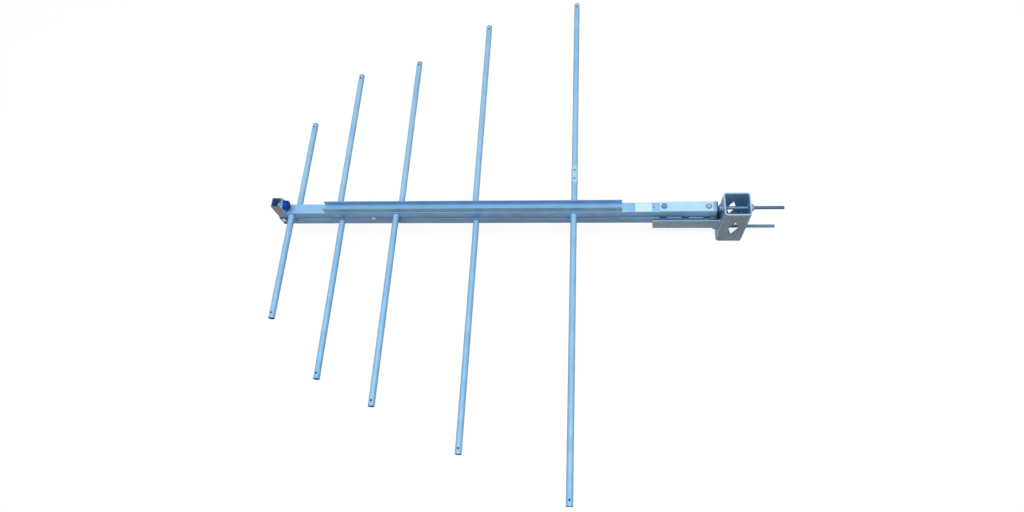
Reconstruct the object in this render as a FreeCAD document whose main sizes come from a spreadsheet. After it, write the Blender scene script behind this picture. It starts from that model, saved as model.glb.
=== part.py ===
"""FM-band log-periodic dipole antenna on a steel mast bracket.

Five dipoles sit along a pair of aluminium booms, each dipole with one half on the
upper boom and the other half on the lower boom, the order swapped at every station.
A cable tray lies on the upper boom, the coaxial socket is on the nose box, and a square
steel box with two threaded rods holds the rear end to a mast.

Millimetres. +X runs from the nose to the mast, +Y across, +Z up. The origin is the
centre of the two mast studs, on the outer face of their nuts.
"""
import FreeCAD, Part
import os
import math
import Sketcher

V = FreeCAD.Vector
TURN_X = FreeCAD.Rotation(V(0, 1, 0), 90)

os.makedirs("parts", exist_ok=True)
doc = FreeCAD.newDocument("antenna")
sheet = doc.addObject("Spreadsheet::Sheet", "Values")

VALUES = [
    # pair of booms
    ("boom_wide", 30, "boom width across Y"),
    ("boom_tall", 30, "boom height"),
    ("boom_wall", 2, "boom wall"),
    ("boom_edge", 1.5, "boom outer edge radius"),
    ("upper_level", 48, "centre height of the upper boom"),
    ("boom_space", 8, "gap between the two booms"),
    ("boom_front", -1351.9, "front end of both booms"),
    ("boom_gap", 17.9, "rear end of the booms to the mast box"),
    # dipoles
    ("station_one", -1336.9, "X of the front dipole"),
    ("station_two", -1192.9, "X of the second dipole"),
    ("station_three", -1016.9, "X of the third dipole"),
    ("station_four", -783.9, "X of the fourth dipole"),
    ("station_five", -496.9, "X of the rear dipole"),
    ("reach_one", 339, "centre line to tip, front dipole"),
    ("reach_two", 499, "centre line to tip, second dipole"),
    ("reach_three", 577.5, "centre line to tip, third dipole"),
    ("reach_four", 686, "centre line to tip, fourth dipole"),
    ("reach_five", 803.5, "centre line to tip, rear dipole"),
    ("rod_od", 18, "dipole tube outside diameter"),
    ("rod_bore", 15, "dipole tube bore"),
    ("drain_back", 15, "drain hole distance from the tip"),
    ("drain_size", 4, "drain hole diameter"),
    ("plug_long", 10, "tip plug length"),
    ("plug_deep", 2.5, "tip plug depth inside the tube"),
    ("slug_long", 34, "root slug length"),
    ("slug_hole", 5, "thread core in the root slug"),
    ("root_shank", 5, "root screw shank diameter"),
    ("root_reach", 16, "root screw reach into the slug"),
    ("root_head", 10, "root screw head diameter"),
    ("root_head_tall", 3, "root screw head height"),
    ("hole_play", 0.4, "clearance on screw and bolt holes, on the diameter"),
    ("splice_near", 109, "Y of the near end of the splice sleeve"),
    ("splice_long", 54, "splice sleeve length"),
    ("splice_wall", 0.9, "splice sleeve wall"),
    ("splice_head", 6, "splice screw head diameter"),
    ("splice_head_tall", 2.2, "splice screw head height"),
    # cable tray
    ("tray_front", -1229.9, "front end of the cable tray"),
    ("tray_back", -360.9, "rear end of the cable tray"),
    ("tray_wide", 25, "cable tray width"),
    ("tray_tall", 22, "cable tray height"),
    ("tray_wall", 2, "cable tray wall"),
    ("rivet_size", 3.2, "tray rivet shank"),
    ("rivet_one", 30, "front end of the tray to its first rivet"),
    ("rivet_two", 290, "front end of the tray to its second rivet"),
    ("rivet_three", 560, "front end of the tray to its third rivet"),
    ("rivet_four", 835, "front end of the tray to its fourth rivet"),
    # rear end of the booms
    ("plate_long", 155, "clamp plate length, up to the rear end of the booms"),
    ("plate_thick", 4, "clamp plate thickness"),
    ("cap_thick", 4, "rear end plate thickness"),
    ("bolt_size", 8, "boom bolt shank"),
    ("bolt_inset", 12, "front boom bolt to the front end of the clamp plate"),
    ("bolt_back", 21, "rear boom bolt to the rear end of the booms"),
    ("bolt_nut_tall", 6.5, "boom bolt nut height"),
    ("bolt_nut_flats", 13, "boom bolt nut width across the flats"),
    ("bolt_washer_thick", 1.6, "boom bolt washer thickness"),
    ("bolt_washer_od", 17, "boom bolt washer outside diameter"),
    ("sleeve_od", 14, "bolt sleeve outside diameter"),
    ("spacer_long", 20, "boom spacer length"),
    ("front_spacer_at", -1090, "X of the front spacer"),
    ("spacer_screw_long", 12, "front spacer screw length under its head"),
    ("label_gap", 21.5, "bare label to the clamp plate"),
    ("label_long", 46.5, "label length"),
    ("label_wide", 26.8, "label width"),
    ("cover_gap", 17.2, "cover screw to the clamp plate"),
    # mast bracket
    ("box_deep", 73, "mast box size along X"),
    ("box_wide", 71, "mast box size along Y"),
    ("stud_low", 25.5, "lower threaded rod to the bottom of the mast box"),
    ("stud_high", 23.5, "upper threaded rod to the top of the mast box"),
    ("box_wall", 4, "mast box wall"),
    ("box_corner", 8, "mast box outer corner radius"),
    ("notch_wide", 28, "diamond cut-out width"),
    ("notch_tall", 77, "diamond cut-out height"),
    ("notch_level", -4, "diamond cut-out centre height"),
    ("channel_ahead", 18, "boom channel in front of the clamp plate"),
    ("channel_top", 12.5, "top edge of the boom channel"),
    ("channel_deep", 47, "boom channel height"),
    ("channel_wall", 3.5, "boom channel wall"),
    ("channel_rake", 5, "slope of the front end of the boom channel"),
    ("weld_size", 4, "leg of the welds beside the boom channel"),
    ("stud_size", 10, "threaded rod diameter"),
    ("stud_apart", 113, "distance between the threaded rods"),
    ("stud_free", 82, "threaded rod behind its rear nut"),
    ("stud_proud", 2, "threaded rod in front of its front nut"),
    ("thread_mid", 9, "pitch diameter, drawn where a threaded rod carries nuts"),
    ("nut_tall", 8, "nut height"),
    ("nut_flats", 17, "nut width across the flats"),
    ("washer_thick", 2, "washer thickness"),
    ("washer_od", 20, "washer outside diameter"),
    # nose
    ("nose_front", -1379.9, "front face of the nose box"),
    ("nose_deep", 28, "nose box size along X"),
    ("nose_wide", 30, "nose box size along Y"),
    ("nose_bottom", 36, "bottom of the nose box"),
    ("nose_top", 103, "top of the nose box"),
    ("nose_wall", 2.5, "nose box wall"),
    ("block_out", 3, "insulating block stand-out beyond the nose box"),
    ("block_bottom", -5, "bottom of the insulating block"),
    ("feed_in", 11, "front face of the nose box to the feed bolt"),
    ("feed_drop", 9, "bottom of the nose box to the feed bolt"),
    ("feed_size", 6, "feed bolt shank"),
    ("feed_head", 14.4, "feed bolt head across the corners"),
    ("feed_head_tall", 5.5, "feed bolt head height"),
    ("socket_level", 86, "height of the socket axis"),
    ("flange_size", 32, "socket flange side"),
    ("flange_thick", 3, "socket flange thickness"),
    ("flange_spot", 12.8, "flange screws to the socket axis, along Y and along Z"),
    ("flange_screw", 3.2, "flange screw shank"),
    ("neck_od", 18, "socket neck diameter"),
    ("bead_od", 8, "socket insulator diameter"),
    ("pin_od", 3.8, "socket contact diameter"),
    ("barrel_od", 27, "socket barrel outside diameter"),
    ("barrel_long", 11, "socket barrel length beyond the flange"),
    ("cap_od", 30.5, "dust cap outside diameter"),
    ("cap_gap", 2, "dust cap to the socket flange"),
    ("cap_long", 13.2, "dust cap length"),
]
row = 1
for word, number, meaning in VALUES:
    sheet.set("A%d" % row, word)
    sheet.set("B%d" % row, str(number))
    sheet.set("C%d" % row, meaning)
    sheet.setAlias("B%d" % row, word)
    row += 1
doc.recompute()
val = {word: float(number) for word, number, meaning in VALUES}

# Places that follow from the values, as an expression and as today's number.
UPPER_LEVEL = "Values.upper_level"
LOWER_LEVEL = "(Values.upper_level - Values.boom_tall - Values.boom_space)"
BOX_BACK = "(-Values.washer_thick - Values.nut_tall)"
BOX_FRONT = "(-Values.washer_thick - Values.nut_tall - Values.box_deep)"
BOX_BOTTOM = "(-Values.stud_apart / 2 - Values.stud_low)"
BOX_TALL = "(Values.stud_apart + Values.stud_low + Values.stud_high)"
BOOM_BACK = "(%s - Values.boom_gap)" % BOX_FRONT
PLATE_FRONT = "(%s - Values.plate_long)" % BOOM_BACK
CHANNEL_FRONT = "(%s - Values.channel_ahead)" % PLATE_FRONT
BOLT_AT = {
    "one": "(%s + Values.bolt_inset)" % PLATE_FRONT,
    "two": "(%s - Values.bolt_back)" % BOOM_BACK,
}
box_front = -val["washer_thick"] - val["nut_tall"] - val["box_deep"]
box_bottom = -val["stud_apart"] / 2 - val["stud_low"]
box_tall = val["stud_apart"] + val["stud_low"] + val["stud_high"]
boom_back = box_front - val["boom_gap"]
plate_front = boom_back - val["plate_long"]
channel_front = plate_front - val["channel_ahead"]
bolt_at = {"one": plate_front + val["bolt_inset"], "two": boom_back - val["bolt_back"]}
tray_floor = val["upper_level"] + val["boom_tall"] / 2
socket_x = val["nose_front"] + val["nose_deep"]

nodes = []
S = "Values."


def keep(obj, label):
    """Mark a document object as one of the part's nodes."""
    obj.Label = label
    nodes.append(obj)
    return obj


def bind(obj, **pairs):
    """Tie properties to spreadsheet expressions, __ standing for a dot."""
    for prop, expr in pairs.items():
        obj.setExpression(prop.replace("__", "."), expr)


def place(obj, x="0", y="0", z="0", rot=None):
    """Place an object by spreadsheet expressions."""
    if rot is not None:
        obj.Placement = FreeCAD.Placement(V(0, 0, 0), rot)
    obj.setExpression("Placement.Base.x", x)
    obj.setExpression("Placement.Base.y", y)
    obj.setExpression("Placement.Base.z", z)


def box(name, length, width, height, x, y, z):
    obj = doc.addObject("Part::Box", name)
    bind(obj, Length=length, Width=width, Height=height)
    place(obj, x, y, z)
    return obj


def rod(name, radius, height, x, y, z, rot=None):
    obj = doc.addObject("Part::Cylinder", name)
    bind(obj, Radius=radius, Height=height)
    place(obj, x, y, z, rot)
    return obj


def hexagon(name, radius, height, x, y, z, rot=None):
    obj = doc.addObject("Part::Prism", name)
    obj.Polygon = 6
    bind(obj, Circumradius=radius, Height=height)
    place(obj, x, y, z, rot)
    return obj


def cut(name, base, tool):
    obj = doc.addObject("Part::Cut", name)
    obj.Base = base
    obj.Tool = tool
    return obj


def join(name, shapes):
    obj = doc.addObject("Part::MultiFuse", name)
    obj.Shapes = shapes
    return obj


def group(name, shapes):
    """Separate solids that share one node."""
    obj = doc.addObject("Part::Compound", name)
    obj.Links = shapes
    return obj


def round_edges(name, base, radius, chosen):
    """Fillet of the edges that the chosen test accepts."""
    doc.recompute()
    size = val[radius] if isinstance(radius, str) else radius
    picks = []
    for index, edge in enumerate(base.Shape.Edges, 1):
        if chosen(edge):
            picks.append((index, size, size))
    obj = doc.addObject("Part::Fillet", name)
    obj.Base = base
    obj.Edges = picks
    return obj


def runs_along(edge, axis, length=0.0):
    """True for a straight edge along an axis, at least as long as length."""
    if len(edge.Vertexes) != 2 or edge.Curve.TypeId != "Part::GeomLine":
        return False
    way = edge.Vertexes[1].Point - edge.Vertexes[0].Point
    return abs(abs(way.dot(axis)) - way.Length) < 1e-6 and way.Length >= length


def new_body(name):
    return doc.addObject("PartDesign::Body", name)


def new_sketch(body, name, plane):
    """Sketch on one of the body's own origin planes."""
    sk = body.newObject("Sketcher::SketchObject", name)
    for feature in body.Origin.OriginFeatures:
        if feature.Role == plane:
            sk.AttachmentSupport = [(feature, "")]
    sk.MapMode = "FlatFace"
    return sk


def add_loop(sk, points):
    """Closed polygon, corners tied end to end; gives the index of its first line."""
    first = sk.GeometryCount
    count = len(points)
    for k in range(count):
        a = V(points[k][0], points[k][1], 0)
        b = V(points[(k + 1) % count][0], points[(k + 1) % count][1], 0)
        sk.addGeometry(Part.LineSegment(a, b), False)
    for k in range(count):
        sk.addConstraint(Sketcher.Constraint("Coincident", first + k, 2, first + (k + 1) % count, 1))
    return first


def tie(sk, kind, name, expr, start, *spots):
    """Named driving dimension of a sketch, bound to the spreadsheet."""
    index = sk.addConstraint(Sketcher.Constraint(kind, *spots, start))
    sk.renameConstraint(index, name)
    sk.setExpression("Constraints." + name, expr)


def add_rect(sk, tag, wide, tall, wide_expr, tall_expr):
    """Rectangle centred on the sketch origin."""
    w = wide / 2.0
    t = tall / 2.0
    k = add_loop(sk, [(-w, -t), (w, -t), (w, t), (-w, t)])
    sk.addConstraint(Sketcher.Constraint("Horizontal", k))
    sk.addConstraint(Sketcher.Constraint("Vertical", k + 1))
    sk.addConstraint(Sketcher.Constraint("Horizontal", k + 2))
    sk.addConstraint(Sketcher.Constraint("Vertical", k + 3))
    sk.addConstraint(Sketcher.Constraint("Symmetric", k, 1, k + 1, 2, -1, 1))
    tie(sk, "DistanceX", tag + "_wide", wide_expr, wide, k, 1, k, 2)
    tie(sk, "DistanceY", tag + "_tall", tall_expr, tall, k + 1, 1, k + 1, 2)
    return k


def add_hole(sk, tag, x, y, radius, x_expr, y_expr, radius_expr):
    """Circle located from the sketch origin."""
    g = sk.addGeometry(Part.Circle(V(x, y, 0), V(0, 0, 1), radius), False)
    if abs(x) < 1e-9:
        sk.addConstraint(Sketcher.Constraint("PointOnObject", g, 3, -2))
    else:
        tie(sk, "DistanceX", tag + "_x", x_expr, x, -1, 1, g, 3)
    if abs(y) < 1e-9:
        sk.addConstraint(Sketcher.Constraint("PointOnObject", g, 3, -1))
    else:
        tie(sk, "DistanceY", tag + "_y", y_expr, y, -1, 1, g, 3)
    tie(sk, "Radius", tag + "_r", radius_expr, radius, g)
    return g


def pad(body, name, sk, length_expr):
    obj = body.newObject("PartDesign::Pad", name)
    obj.Profile = sk
    obj.setExpression("Length", length_expr)
    sk.Visibility = False
    doc.recompute()
    return obj


def pocket(body, name, sk, length_expr, both=False, back=False):
    """Pocket whose effect is proved by the volume it takes away."""
    doc.recompute()
    before = body.Shape.Volume
    obj = body.newObject("PartDesign::Pocket", name)
    obj.Profile = sk
    obj.setExpression("Length", length_expr)
    obj.Midplane = both
    obj.Reversed = back
    sk.Visibility = False
    doc.recompute()
    if not before - obj.Shape.Volume > 0.5:
        raise RuntimeError(name + " removes nothing")
    return obj


def soften(body, name, base, radius_expr, start, chosen):
    """Fillet inside a body, on the edges that the chosen test accepts."""
    doc.recompute()
    picks = []
    for index, edge in enumerate(base.Shape.Edges, 1):
        if chosen(edge):
            picks.append("Edge%d" % index)
    obj = body.newObject("PartDesign::Fillet", name)
    obj.Base = (base, picks)
    obj.Radius = start
    if radius_expr:
        obj.setExpression("Radius", radius_expr)
    doc.recompute()
    return obj


X_AXIS = V(1, 0, 0)
Y_AXIS = V(0, 1, 0)
Z_AXIS = V(0, 0, 1)
WORDS = ["one", "two", "three", "four", "five"]
HALF_BOOM = "Values.boom_wide / 2"

# ---------------------------------------------------------------- booms


def make_boom(label, level):
    """Rectangular tube with a row of root screw holes through both side walls."""
    body = new_body(label)
    place(body, S + "boom_front", "0", level)
    sk = new_sketch(body, label + "_section", "YZ_Plane")
    add_rect(sk, "outer", val["boom_wide"], val["boom_tall"], S + "boom_wide", S + "boom_tall")
    add_rect(
        sk, "inner", val["boom_wide"] - 2 * val["boom_wall"], val["boom_tall"] - 2 * val["boom_wall"],
        "Values.boom_wide - 2 * Values.boom_wall", "Values.boom_tall - 2 * Values.boom_wall",
    )
    tube = pad(body, label + "_tube", sk, BOOM_BACK + " - Values.boom_front")
    half = val["boom_wide"] / 2 - 0.01
    soft = soften(
        body, label + "_edges", tube, S + "boom_edge", val["boom_edge"],
        lambda e: runs_along(e, X_AXIS) and abs(e.Vertexes[0].Y) > half,
    )
    side = new_sketch(body, label + "_root_holes", "XZ_Plane")
    for word in WORDS:
        add_hole(
            side, "root_" + word, val["station_" + word] - val["boom_front"], 0.0,
            (val["root_shank"] + val["hole_play"]) / 2,
            "Values.station_%s - Values.boom_front" % word, "0",
            "(Values.root_shank + Values.hole_play) / 2",
        )
    pocket(body, label + "_root_bores", side, "Values.boom_wide * 2", both=True)
    top = new_sketch(body, label + "_bolt_holes", "XY_Plane")
    for word in ("one", "two"):
        add_hole(
            top, "bolt_" + word, bolt_at[word] - val["boom_front"], 0.0,
            (val["bolt_size"] + val["hole_play"]) / 2,
            BOLT_AT[word] + " - Values.boom_front", "0",
            "(Values.bolt_size + Values.hole_play) / 2",
        )
    pocket(body, label + "_bolt_bores", top, "Values.boom_tall * 2", both=True)
    return keep(body, label)


upper_boom = make_boom("upper_boom", UPPER_LEVEL)
lower_boom = make_boom("lower_boom", LOWER_LEVEL)

# ---------------------------------------------------------------- dipoles
# Each half is a tube that butts on the side of its boom. A slug inside its root takes a
# screw that crosses the boom from the far side. Odd dipoles have the near half on the
# upper boom, even dipoles have it on the lower boom.

root_slugs = []
root_screws = []
tip_plugs = []
for number, word in enumerate(WORDS):
    for side, sign in (("near", -1), ("far", 1)):
        on_upper = (number % 2 == 0) == (side == "near")
        level = UPPER_LEVEL if on_upper else LOWER_LEVEL
        station = "Values.station_" + word
        reach = "Values.reach_" + word
        spin = FreeCAD.Rotation(X_AXIS, 90 if sign < 0 else -90)
        start = "%d * Values.boom_wide / 2" % sign
        tag = "dipole_%s_%s" % (word, side)
        outer = rod(tag + "_outer", "Values.rod_od / 2", reach + " - " + HALF_BOOM,
                    station, start, level, spin)
        bore = rod(tag + "_bore", "Values.rod_bore / 2", reach + " - " + HALF_BOOM + " + 2",
                   station, "%d * (Values.boom_wide / 2 - 1)" % sign, level, spin)
        drain = rod(tag + "_drain", "Values.drain_size / 2", "Values.rod_od / 2 + 1",
                    station, "%d * (%s - Values.drain_back)" % (sign, reach), level)
        tube = cut(tag, outer, join(tag + "_voids", [bore, drain]))
        keep(tube, tag)

        slug = rod(tag + "_slug_bar", "Values.rod_bore / 2", "Values.slug_long",
                   station, start, level, spin)
        core = rod(tag + "_slug_core", "Values.root_shank / 2", "Values.root_reach + 4",
                   station, start, level, spin)
        root_slugs.append(cut(tag + "_slug", slug, core))

        shank = rod(tag + "_screw_shank", "Values.root_shank / 2",
                    "Values.boom_wide + Values.root_reach + 1",
                    station, "%d * (Values.boom_wide / 2 + 1)" % -sign, level, spin)
        head = rod(tag + "_screw_head", "Values.root_head / 2", "Values.root_head_tall",
                   station, "%d * (Values.boom_wide / 2 + Values.root_head_tall)" % -sign,
                   level, spin)
        doc.recompute()
        outside = val["boom_wide"] / 2 + val["root_head_tall"]
        dome = round_edges(
            tag + "_screw_dome", head, 1.8,
            lambda e: e.Curve.TypeId == "Part::GeomCircle"
            and abs(abs(e.CenterOfMass.y) - outside) < 0.01,
        )
        root_screws.append(join(tag + "_screw", [shank, dome]))

        tip_plugs.append(rod(tag + "_plug", "Values.rod_bore / 2", "Values.plug_long",
                             station, "%d * (%s - Values.plug_deep)" % (sign, reach), level,
                             FreeCAD.Rotation(X_AXIS, -90 if sign < 0 else 90)))
keep(group("root_slugs", root_slugs), "root_slugs")
keep(group("root_screws", root_screws), "root_screws")
keep(group("tip_plugs", tip_plugs), "tip_plugs")

# Splice in the far half of the rear dipole: a thin sleeve with two screws on top.
SPLICE_Y = "Values.splice_near"
TO_FAR = FreeCAD.Rotation(X_AXIS, -90)
sleeve_out = rod("sleeve_out", "Values.rod_od / 2 + Values.splice_wall", "Values.splice_long",
                 "Values.station_five", SPLICE_Y, LOWER_LEVEL, TO_FAR)
sleeve_in = rod("sleeve_in", "Values.rod_od / 2", "Values.splice_long + 2",
                "Values.station_five", SPLICE_Y + " - 1", LOWER_LEVEL, TO_FAR)
keep(cut("splice_sleeve", sleeve_out, sleeve_in), "splice_sleeve")
splice_screws = []
for index, share in enumerate((0.24, 0.76)):
    head = rod("splice_head_%d" % index, "Values.splice_head / 2", S + "splice_head_tall",
               "Values.station_five",
               "Values.splice_near + Values.splice_long * %g" % share,
               LOWER_LEVEL + " + Values.rod_od / 2 + Values.splice_wall")
    splice_screws.append(head)
keep(group("splice_screws", splice_screws), "splice_screws")

# ---------------------------------------------------------------- cable tray


def add_channel(sk, wide, tall, wall):
    """Upright U profile standing on the sketch origin; arguments are value names."""
    w = val[wide] / 2
    t = val[wall]
    h = val[tall]
    k = add_loop(sk, [(-w, 0), (w, 0), (w, h), (w - t, h), (w - t, t), (t - w, t), (t - w, h), (-w, h)])
    for line in (0, 2, 4, 6):
        sk.addConstraint(Sketcher.Constraint("Horizontal", k + line))
    for line in (1, 3, 5, 7):
        sk.addConstraint(Sketcher.Constraint("Vertical", k + line))
    sk.addConstraint(Sketcher.Constraint("Symmetric", k, 1, k, 2, -1, 1))
    sk.addConstraint(Sketcher.Constraint("Horizontal", k + 2, 1, k + 6, 2))
    sk.addConstraint(Sketcher.Constraint("Equal", k + 2, k + 6))
    tie(sk, "DistanceX", "wide", S + wide, 2 * w, k, 1, k, 2)
    tie(sk, "DistanceY", "tall", S + tall, h, k + 1, 1, k + 1, 2)
    tie(sk, "DistanceX", "wall", S + wall, t, k + 2, 2, k + 2, 1)
    tie(sk, "DistanceY", "floor", S + wall, t, k, 2, k + 3, 2)


TRAY_FLOOR = "Values.upper_level + Values.boom_tall / 2"
tray = new_body("cable_tray")
place(tray, S + "tray_front", "0", TRAY_FLOOR)
sk = new_sketch(tray, "tray_section", "YZ_Plane")
add_channel(sk, "tray_wide", "tray_tall", "tray_wall")
pad(tray, "tray_run", sk, "Values.tray_back - Values.tray_front")
RIVETS = ("one", "two", "three", "four")
sk = new_sketch(tray, "tray_holes", "XY_Plane")
for word in RIVETS:
    add_hole(sk, "spot_" + word, val["rivet_" + word], 0.0, val["rivet_size"] / 2,
             "Values.rivet_" + word, "0", "Values.rivet_size / 2")
pocket(tray, "tray_bores", sk, "Values.tray_tall", both=True)
keep(tray, "cable_tray")

# Rivet holes through the top wall of the upper boom only.
sk = new_sketch(upper_boom, "upper_boom_rivet_holes", "XY_Plane")
for word in RIVETS:
    add_hole(sk, "spot_" + word, val["tray_front"] - val["boom_front"] + val["rivet_" + word], 0.0,
             val["rivet_size"] / 2, "Values.tray_front - Values.boom_front + Values.rivet_" + word,
             "0", "Values.rivet_size / 2")
pocket(upper_boom, "upper_boom_rivet_bores", sk, "Values.boom_tall", back=True)

rivets = []
for word in RIVETS:
    at = "Values.tray_front + Values.rivet_" + word
    shank = rod("rivet_shank_" + word, "Values.rivet_size / 2",
                "Values.tray_wall + Values.boom_wall + 1.4", at, "0",
                TRAY_FLOOR + " - Values.boom_wall - 0.7")
    head = rod("rivet_head_" + word, "Values.rivet_size", "1.2", at, "0",
               TRAY_FLOOR + " + Values.tray_wall")
    tail = rod("rivet_tail_" + word, "Values.rivet_size * 0.75", "1.4", at, "0",
               TRAY_FLOOR + " - Values.boom_wall - 1.4")
    rivets.append(join("tray_rivet_" + word, [shank, head, tail]))
keep(group("tray_rivets", rivets), "tray_rivets")

# ---------------------------------------------------------------- rear end of the booms

PLATE_TOP = "Values.upper_level + Values.boom_tall / 2 + Values.plate_thick"
plate = box("plate_blank", S + "plate_long", S + "boom_wide", S + "plate_thick", PLATE_FRONT,
            "-Values.boom_wide / 2", TRAY_FLOOR)
plate = round_edges("plate_corners", plate, 2.0, lambda e: runs_along(e, Z_AXIS))
bolt_holes = []
for word in ("one", "two"):
    bolt_holes.append(rod("plate_hole_" + word, "(Values.bolt_size + Values.hole_play) / 2",
                          "Values.boom_tall + Values.plate_thick", BOLT_AT[word], "0",
                          "Values.upper_level"))
keep(cut("clamp_plate", plate, join("plate_holes", bolt_holes)), "clamp_plate")

end = box("end_blank", S + "cap_thick", S + "boom_wide",
          PLATE_TOP + " - " + LOWER_LEVEL + " + Values.boom_tall / 2",
          BOOM_BACK, "-Values.boom_wide / 2", LOWER_LEVEL + " - Values.boom_tall / 2")
end = round_edges("rear_end_plate", end, 1.5,
                  lambda e: e.Curve.TypeId == "Part::GeomLine"
                  and e.CenterOfMass.x > boom_back + val["cap_thick"] - 1)
keep(end, "rear_end_plate")

GAP_LOW = LOWER_LEVEL + " + Values.boom_tall / 2"
GAP_TALL = "Values.boom_space"
rear_spacers = []
SPACER_AT = dict(BOLT_AT, middle="(%s + %s) / 2" % (BOLT_AT["one"], BOLT_AT["two"]))
for word in ("one", "middle", "two"):
    at = SPACER_AT[word]
    block = box("spacer_block_" + word, S + "spacer_long", S + "boom_wide", GAP_TALL,
                at + " - Values.spacer_long / 2", "-Values.boom_wide / 2", GAP_LOW)
    if word == "middle":
        rear_spacers.append(block)
        continue
    hole = rod("spacer_hole_" + word, "(Values.bolt_size + Values.hole_play) / 2",
               GAP_TALL + " + 2", at, "0", GAP_LOW + " - 1")
    rear_spacers.append(cut("spacer_" + word, block, hole))
keep(group("rear_spacers", rear_spacers), "rear_spacers")

block = box("front_spacer_blank", S + "spacer_long", S + "boom_wide", GAP_TALL,
            "Values.front_spacer_at - Values.spacer_long / 2", "-Values.boom_wide / 2", GAP_LOW)
MIDGAP = GAP_LOW + " + Values.boom_space / 2"
NEAR_WAY = FreeCAD.Rotation(X_AXIS, -90)
hole = rod("front_spacer_hole", "Values.root_shank / 2", "Values.spacer_screw_long + 2",
           S + "front_spacer_at", "-Values.boom_wide / 2 - 1", MIDGAP, NEAR_WAY)
keep(cut("front_spacer", block, hole), "front_spacer")
shank = rod("spacer_screw_shank", "Values.root_shank / 2", "Values.spacer_screw_long + 1",
            S + "front_spacer_at", "-Values.boom_wide / 2 - 1", MIDGAP, NEAR_WAY)
head = rod("spacer_screw_head", "Values.root_head / 2", S + "root_head_tall",
           S + "front_spacer_at", "-Values.boom_wide / 2 - Values.root_head_tall", MIDGAP, NEAR_WAY)
head = round_edges("spacer_screw_dome", head, 1.8,
                   lambda e: e.Curve.TypeId == "Part::GeomCircle"
                   and e.CenterOfMass.y < -val["boom_wide"] / 2 - val["root_head_tall"] / 2)
keep(join("spacer_screw", [shank, head]), "spacer_screw")

label = box("label_blank", S + "label_long", S + "label_wide", "0.4",
            PLATE_FRONT + " - Values.label_gap - Values.label_long", "-Values.label_wide / 2", TRAY_FLOOR)
keep(round_edges("bare_label", label, 2.0, lambda e: runs_along(e, Z_AXIS)), "bare_label")
head = rod("cover_screw_head", "2.6", "1.6", PLATE_FRONT + " - Values.cover_gap", "0", TRAY_FLOOR)
keep(round_edges("cover_screw", head, 0.9,
                 lambda e: e.Curve.TypeId == "Part::GeomCircle"
                 and e.CenterOfMass.z > tray_floor + 1), "cover_screw")

# ---------------------------------------------------------------- mast box

mast_box = new_body("mast_box")
place(mast_box, BOX_BACK + " - Values.box_deep / 2", "0", BOX_BOTTOM)
sk = new_sketch(mast_box, "box_section", "XY_Plane")
add_rect(sk, "outer", val["box_deep"], val["box_wide"], S + "box_deep", S + "box_wide")
pad(mast_box, "box_solid", sk, BOX_TALL)
soft = soften(mast_box, "box_corners", mast_box.Tip, S + "box_corner", val["box_corner"],
              lambda e: runs_along(e, Z_AXIS))
sk = new_sketch(mast_box, "box_hollow_section", "XY_Plane")
add_rect(sk, "inner", val["box_deep"] - 2 * val["box_wall"], val["box_wide"] - 2 * val["box_wall"],
         "Values.box_deep - 2 * Values.box_wall", "Values.box_wide - 2 * Values.box_wall")
hollow = pocket(mast_box, "box_hollow", sk, BOX_TALL + " * 2", both=True)
inner_x = val["box_deep"] / 2 - val["box_wall"]
inner_y = val["box_wide"] / 2 - val["box_wall"]
soft = soften(mast_box, "box_inner_corners", hollow, "Values.box_corner - Values.box_wall",
              val["box_corner"] - val["box_wall"],
              lambda e: runs_along(e, Z_AXIS) and abs(abs(e.Vertexes[0].X) - inner_x) < 0.01
              and abs(abs(e.Vertexes[0].Y) - inner_y) < 0.01)

sk = new_sketch(mast_box, "notch", "XZ_Plane")
rise = val["notch_level"] - box_bottom
half_w = val["notch_wide"] / 2
half_t = val["notch_tall"] / 2
k = add_loop(sk, [(0, rise - half_t), (half_w, rise), (0, rise + half_t), (-half_w, rise)])
sk.addConstraint(Sketcher.Constraint("PointOnObject", k, 1, -2))
sk.addConstraint(Sketcher.Constraint("PointOnObject", k + 2, 1, -2))
sk.addConstraint(Sketcher.Constraint("Horizontal", k + 1, 1, k + 3, 1))
sk.addConstraint(Sketcher.Constraint("Equal", k, k + 3))
tie(sk, "DistanceX", "wide", S + "notch_wide", val["notch_wide"], k + 3, 1, k + 1, 1)
tie(sk, "DistanceY", "tall", S + "notch_tall", val["notch_tall"], k, 1, k + 2, 1)
tie(sk, "DistanceY", "level", "Values.notch_level - " + BOX_BOTTOM, rise, -1, 1, k + 1, 1)
tie(sk, "DistanceY", "belly", "Values.notch_tall / 2", half_t, k, 1, k + 1, 1)
pocket(mast_box, "notches", sk, "Values.box_wide * 2", both=True)

sk = new_sketch(mast_box, "stud_holes", "YZ_Plane")
for word, sign in (("upper", 1), ("lower", -1)):
    z = sign * val["stud_apart"] / 2 - box_bottom
    add_hole(sk, word, 0.0, z, (val["stud_size"] + val["hole_play"]) / 2, "0",
             "%d * Values.stud_apart / 2 - %s" % (sign, BOX_BOTTOM),
             "(Values.stud_size + Values.hole_play) / 2")
pocket(mast_box, "stud_bores", sk, "Values.box_deep * 2", both=True)
keep(mast_box, "mast_box")

# ---------------------------------------------------------------- boom channel of the bracket

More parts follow.
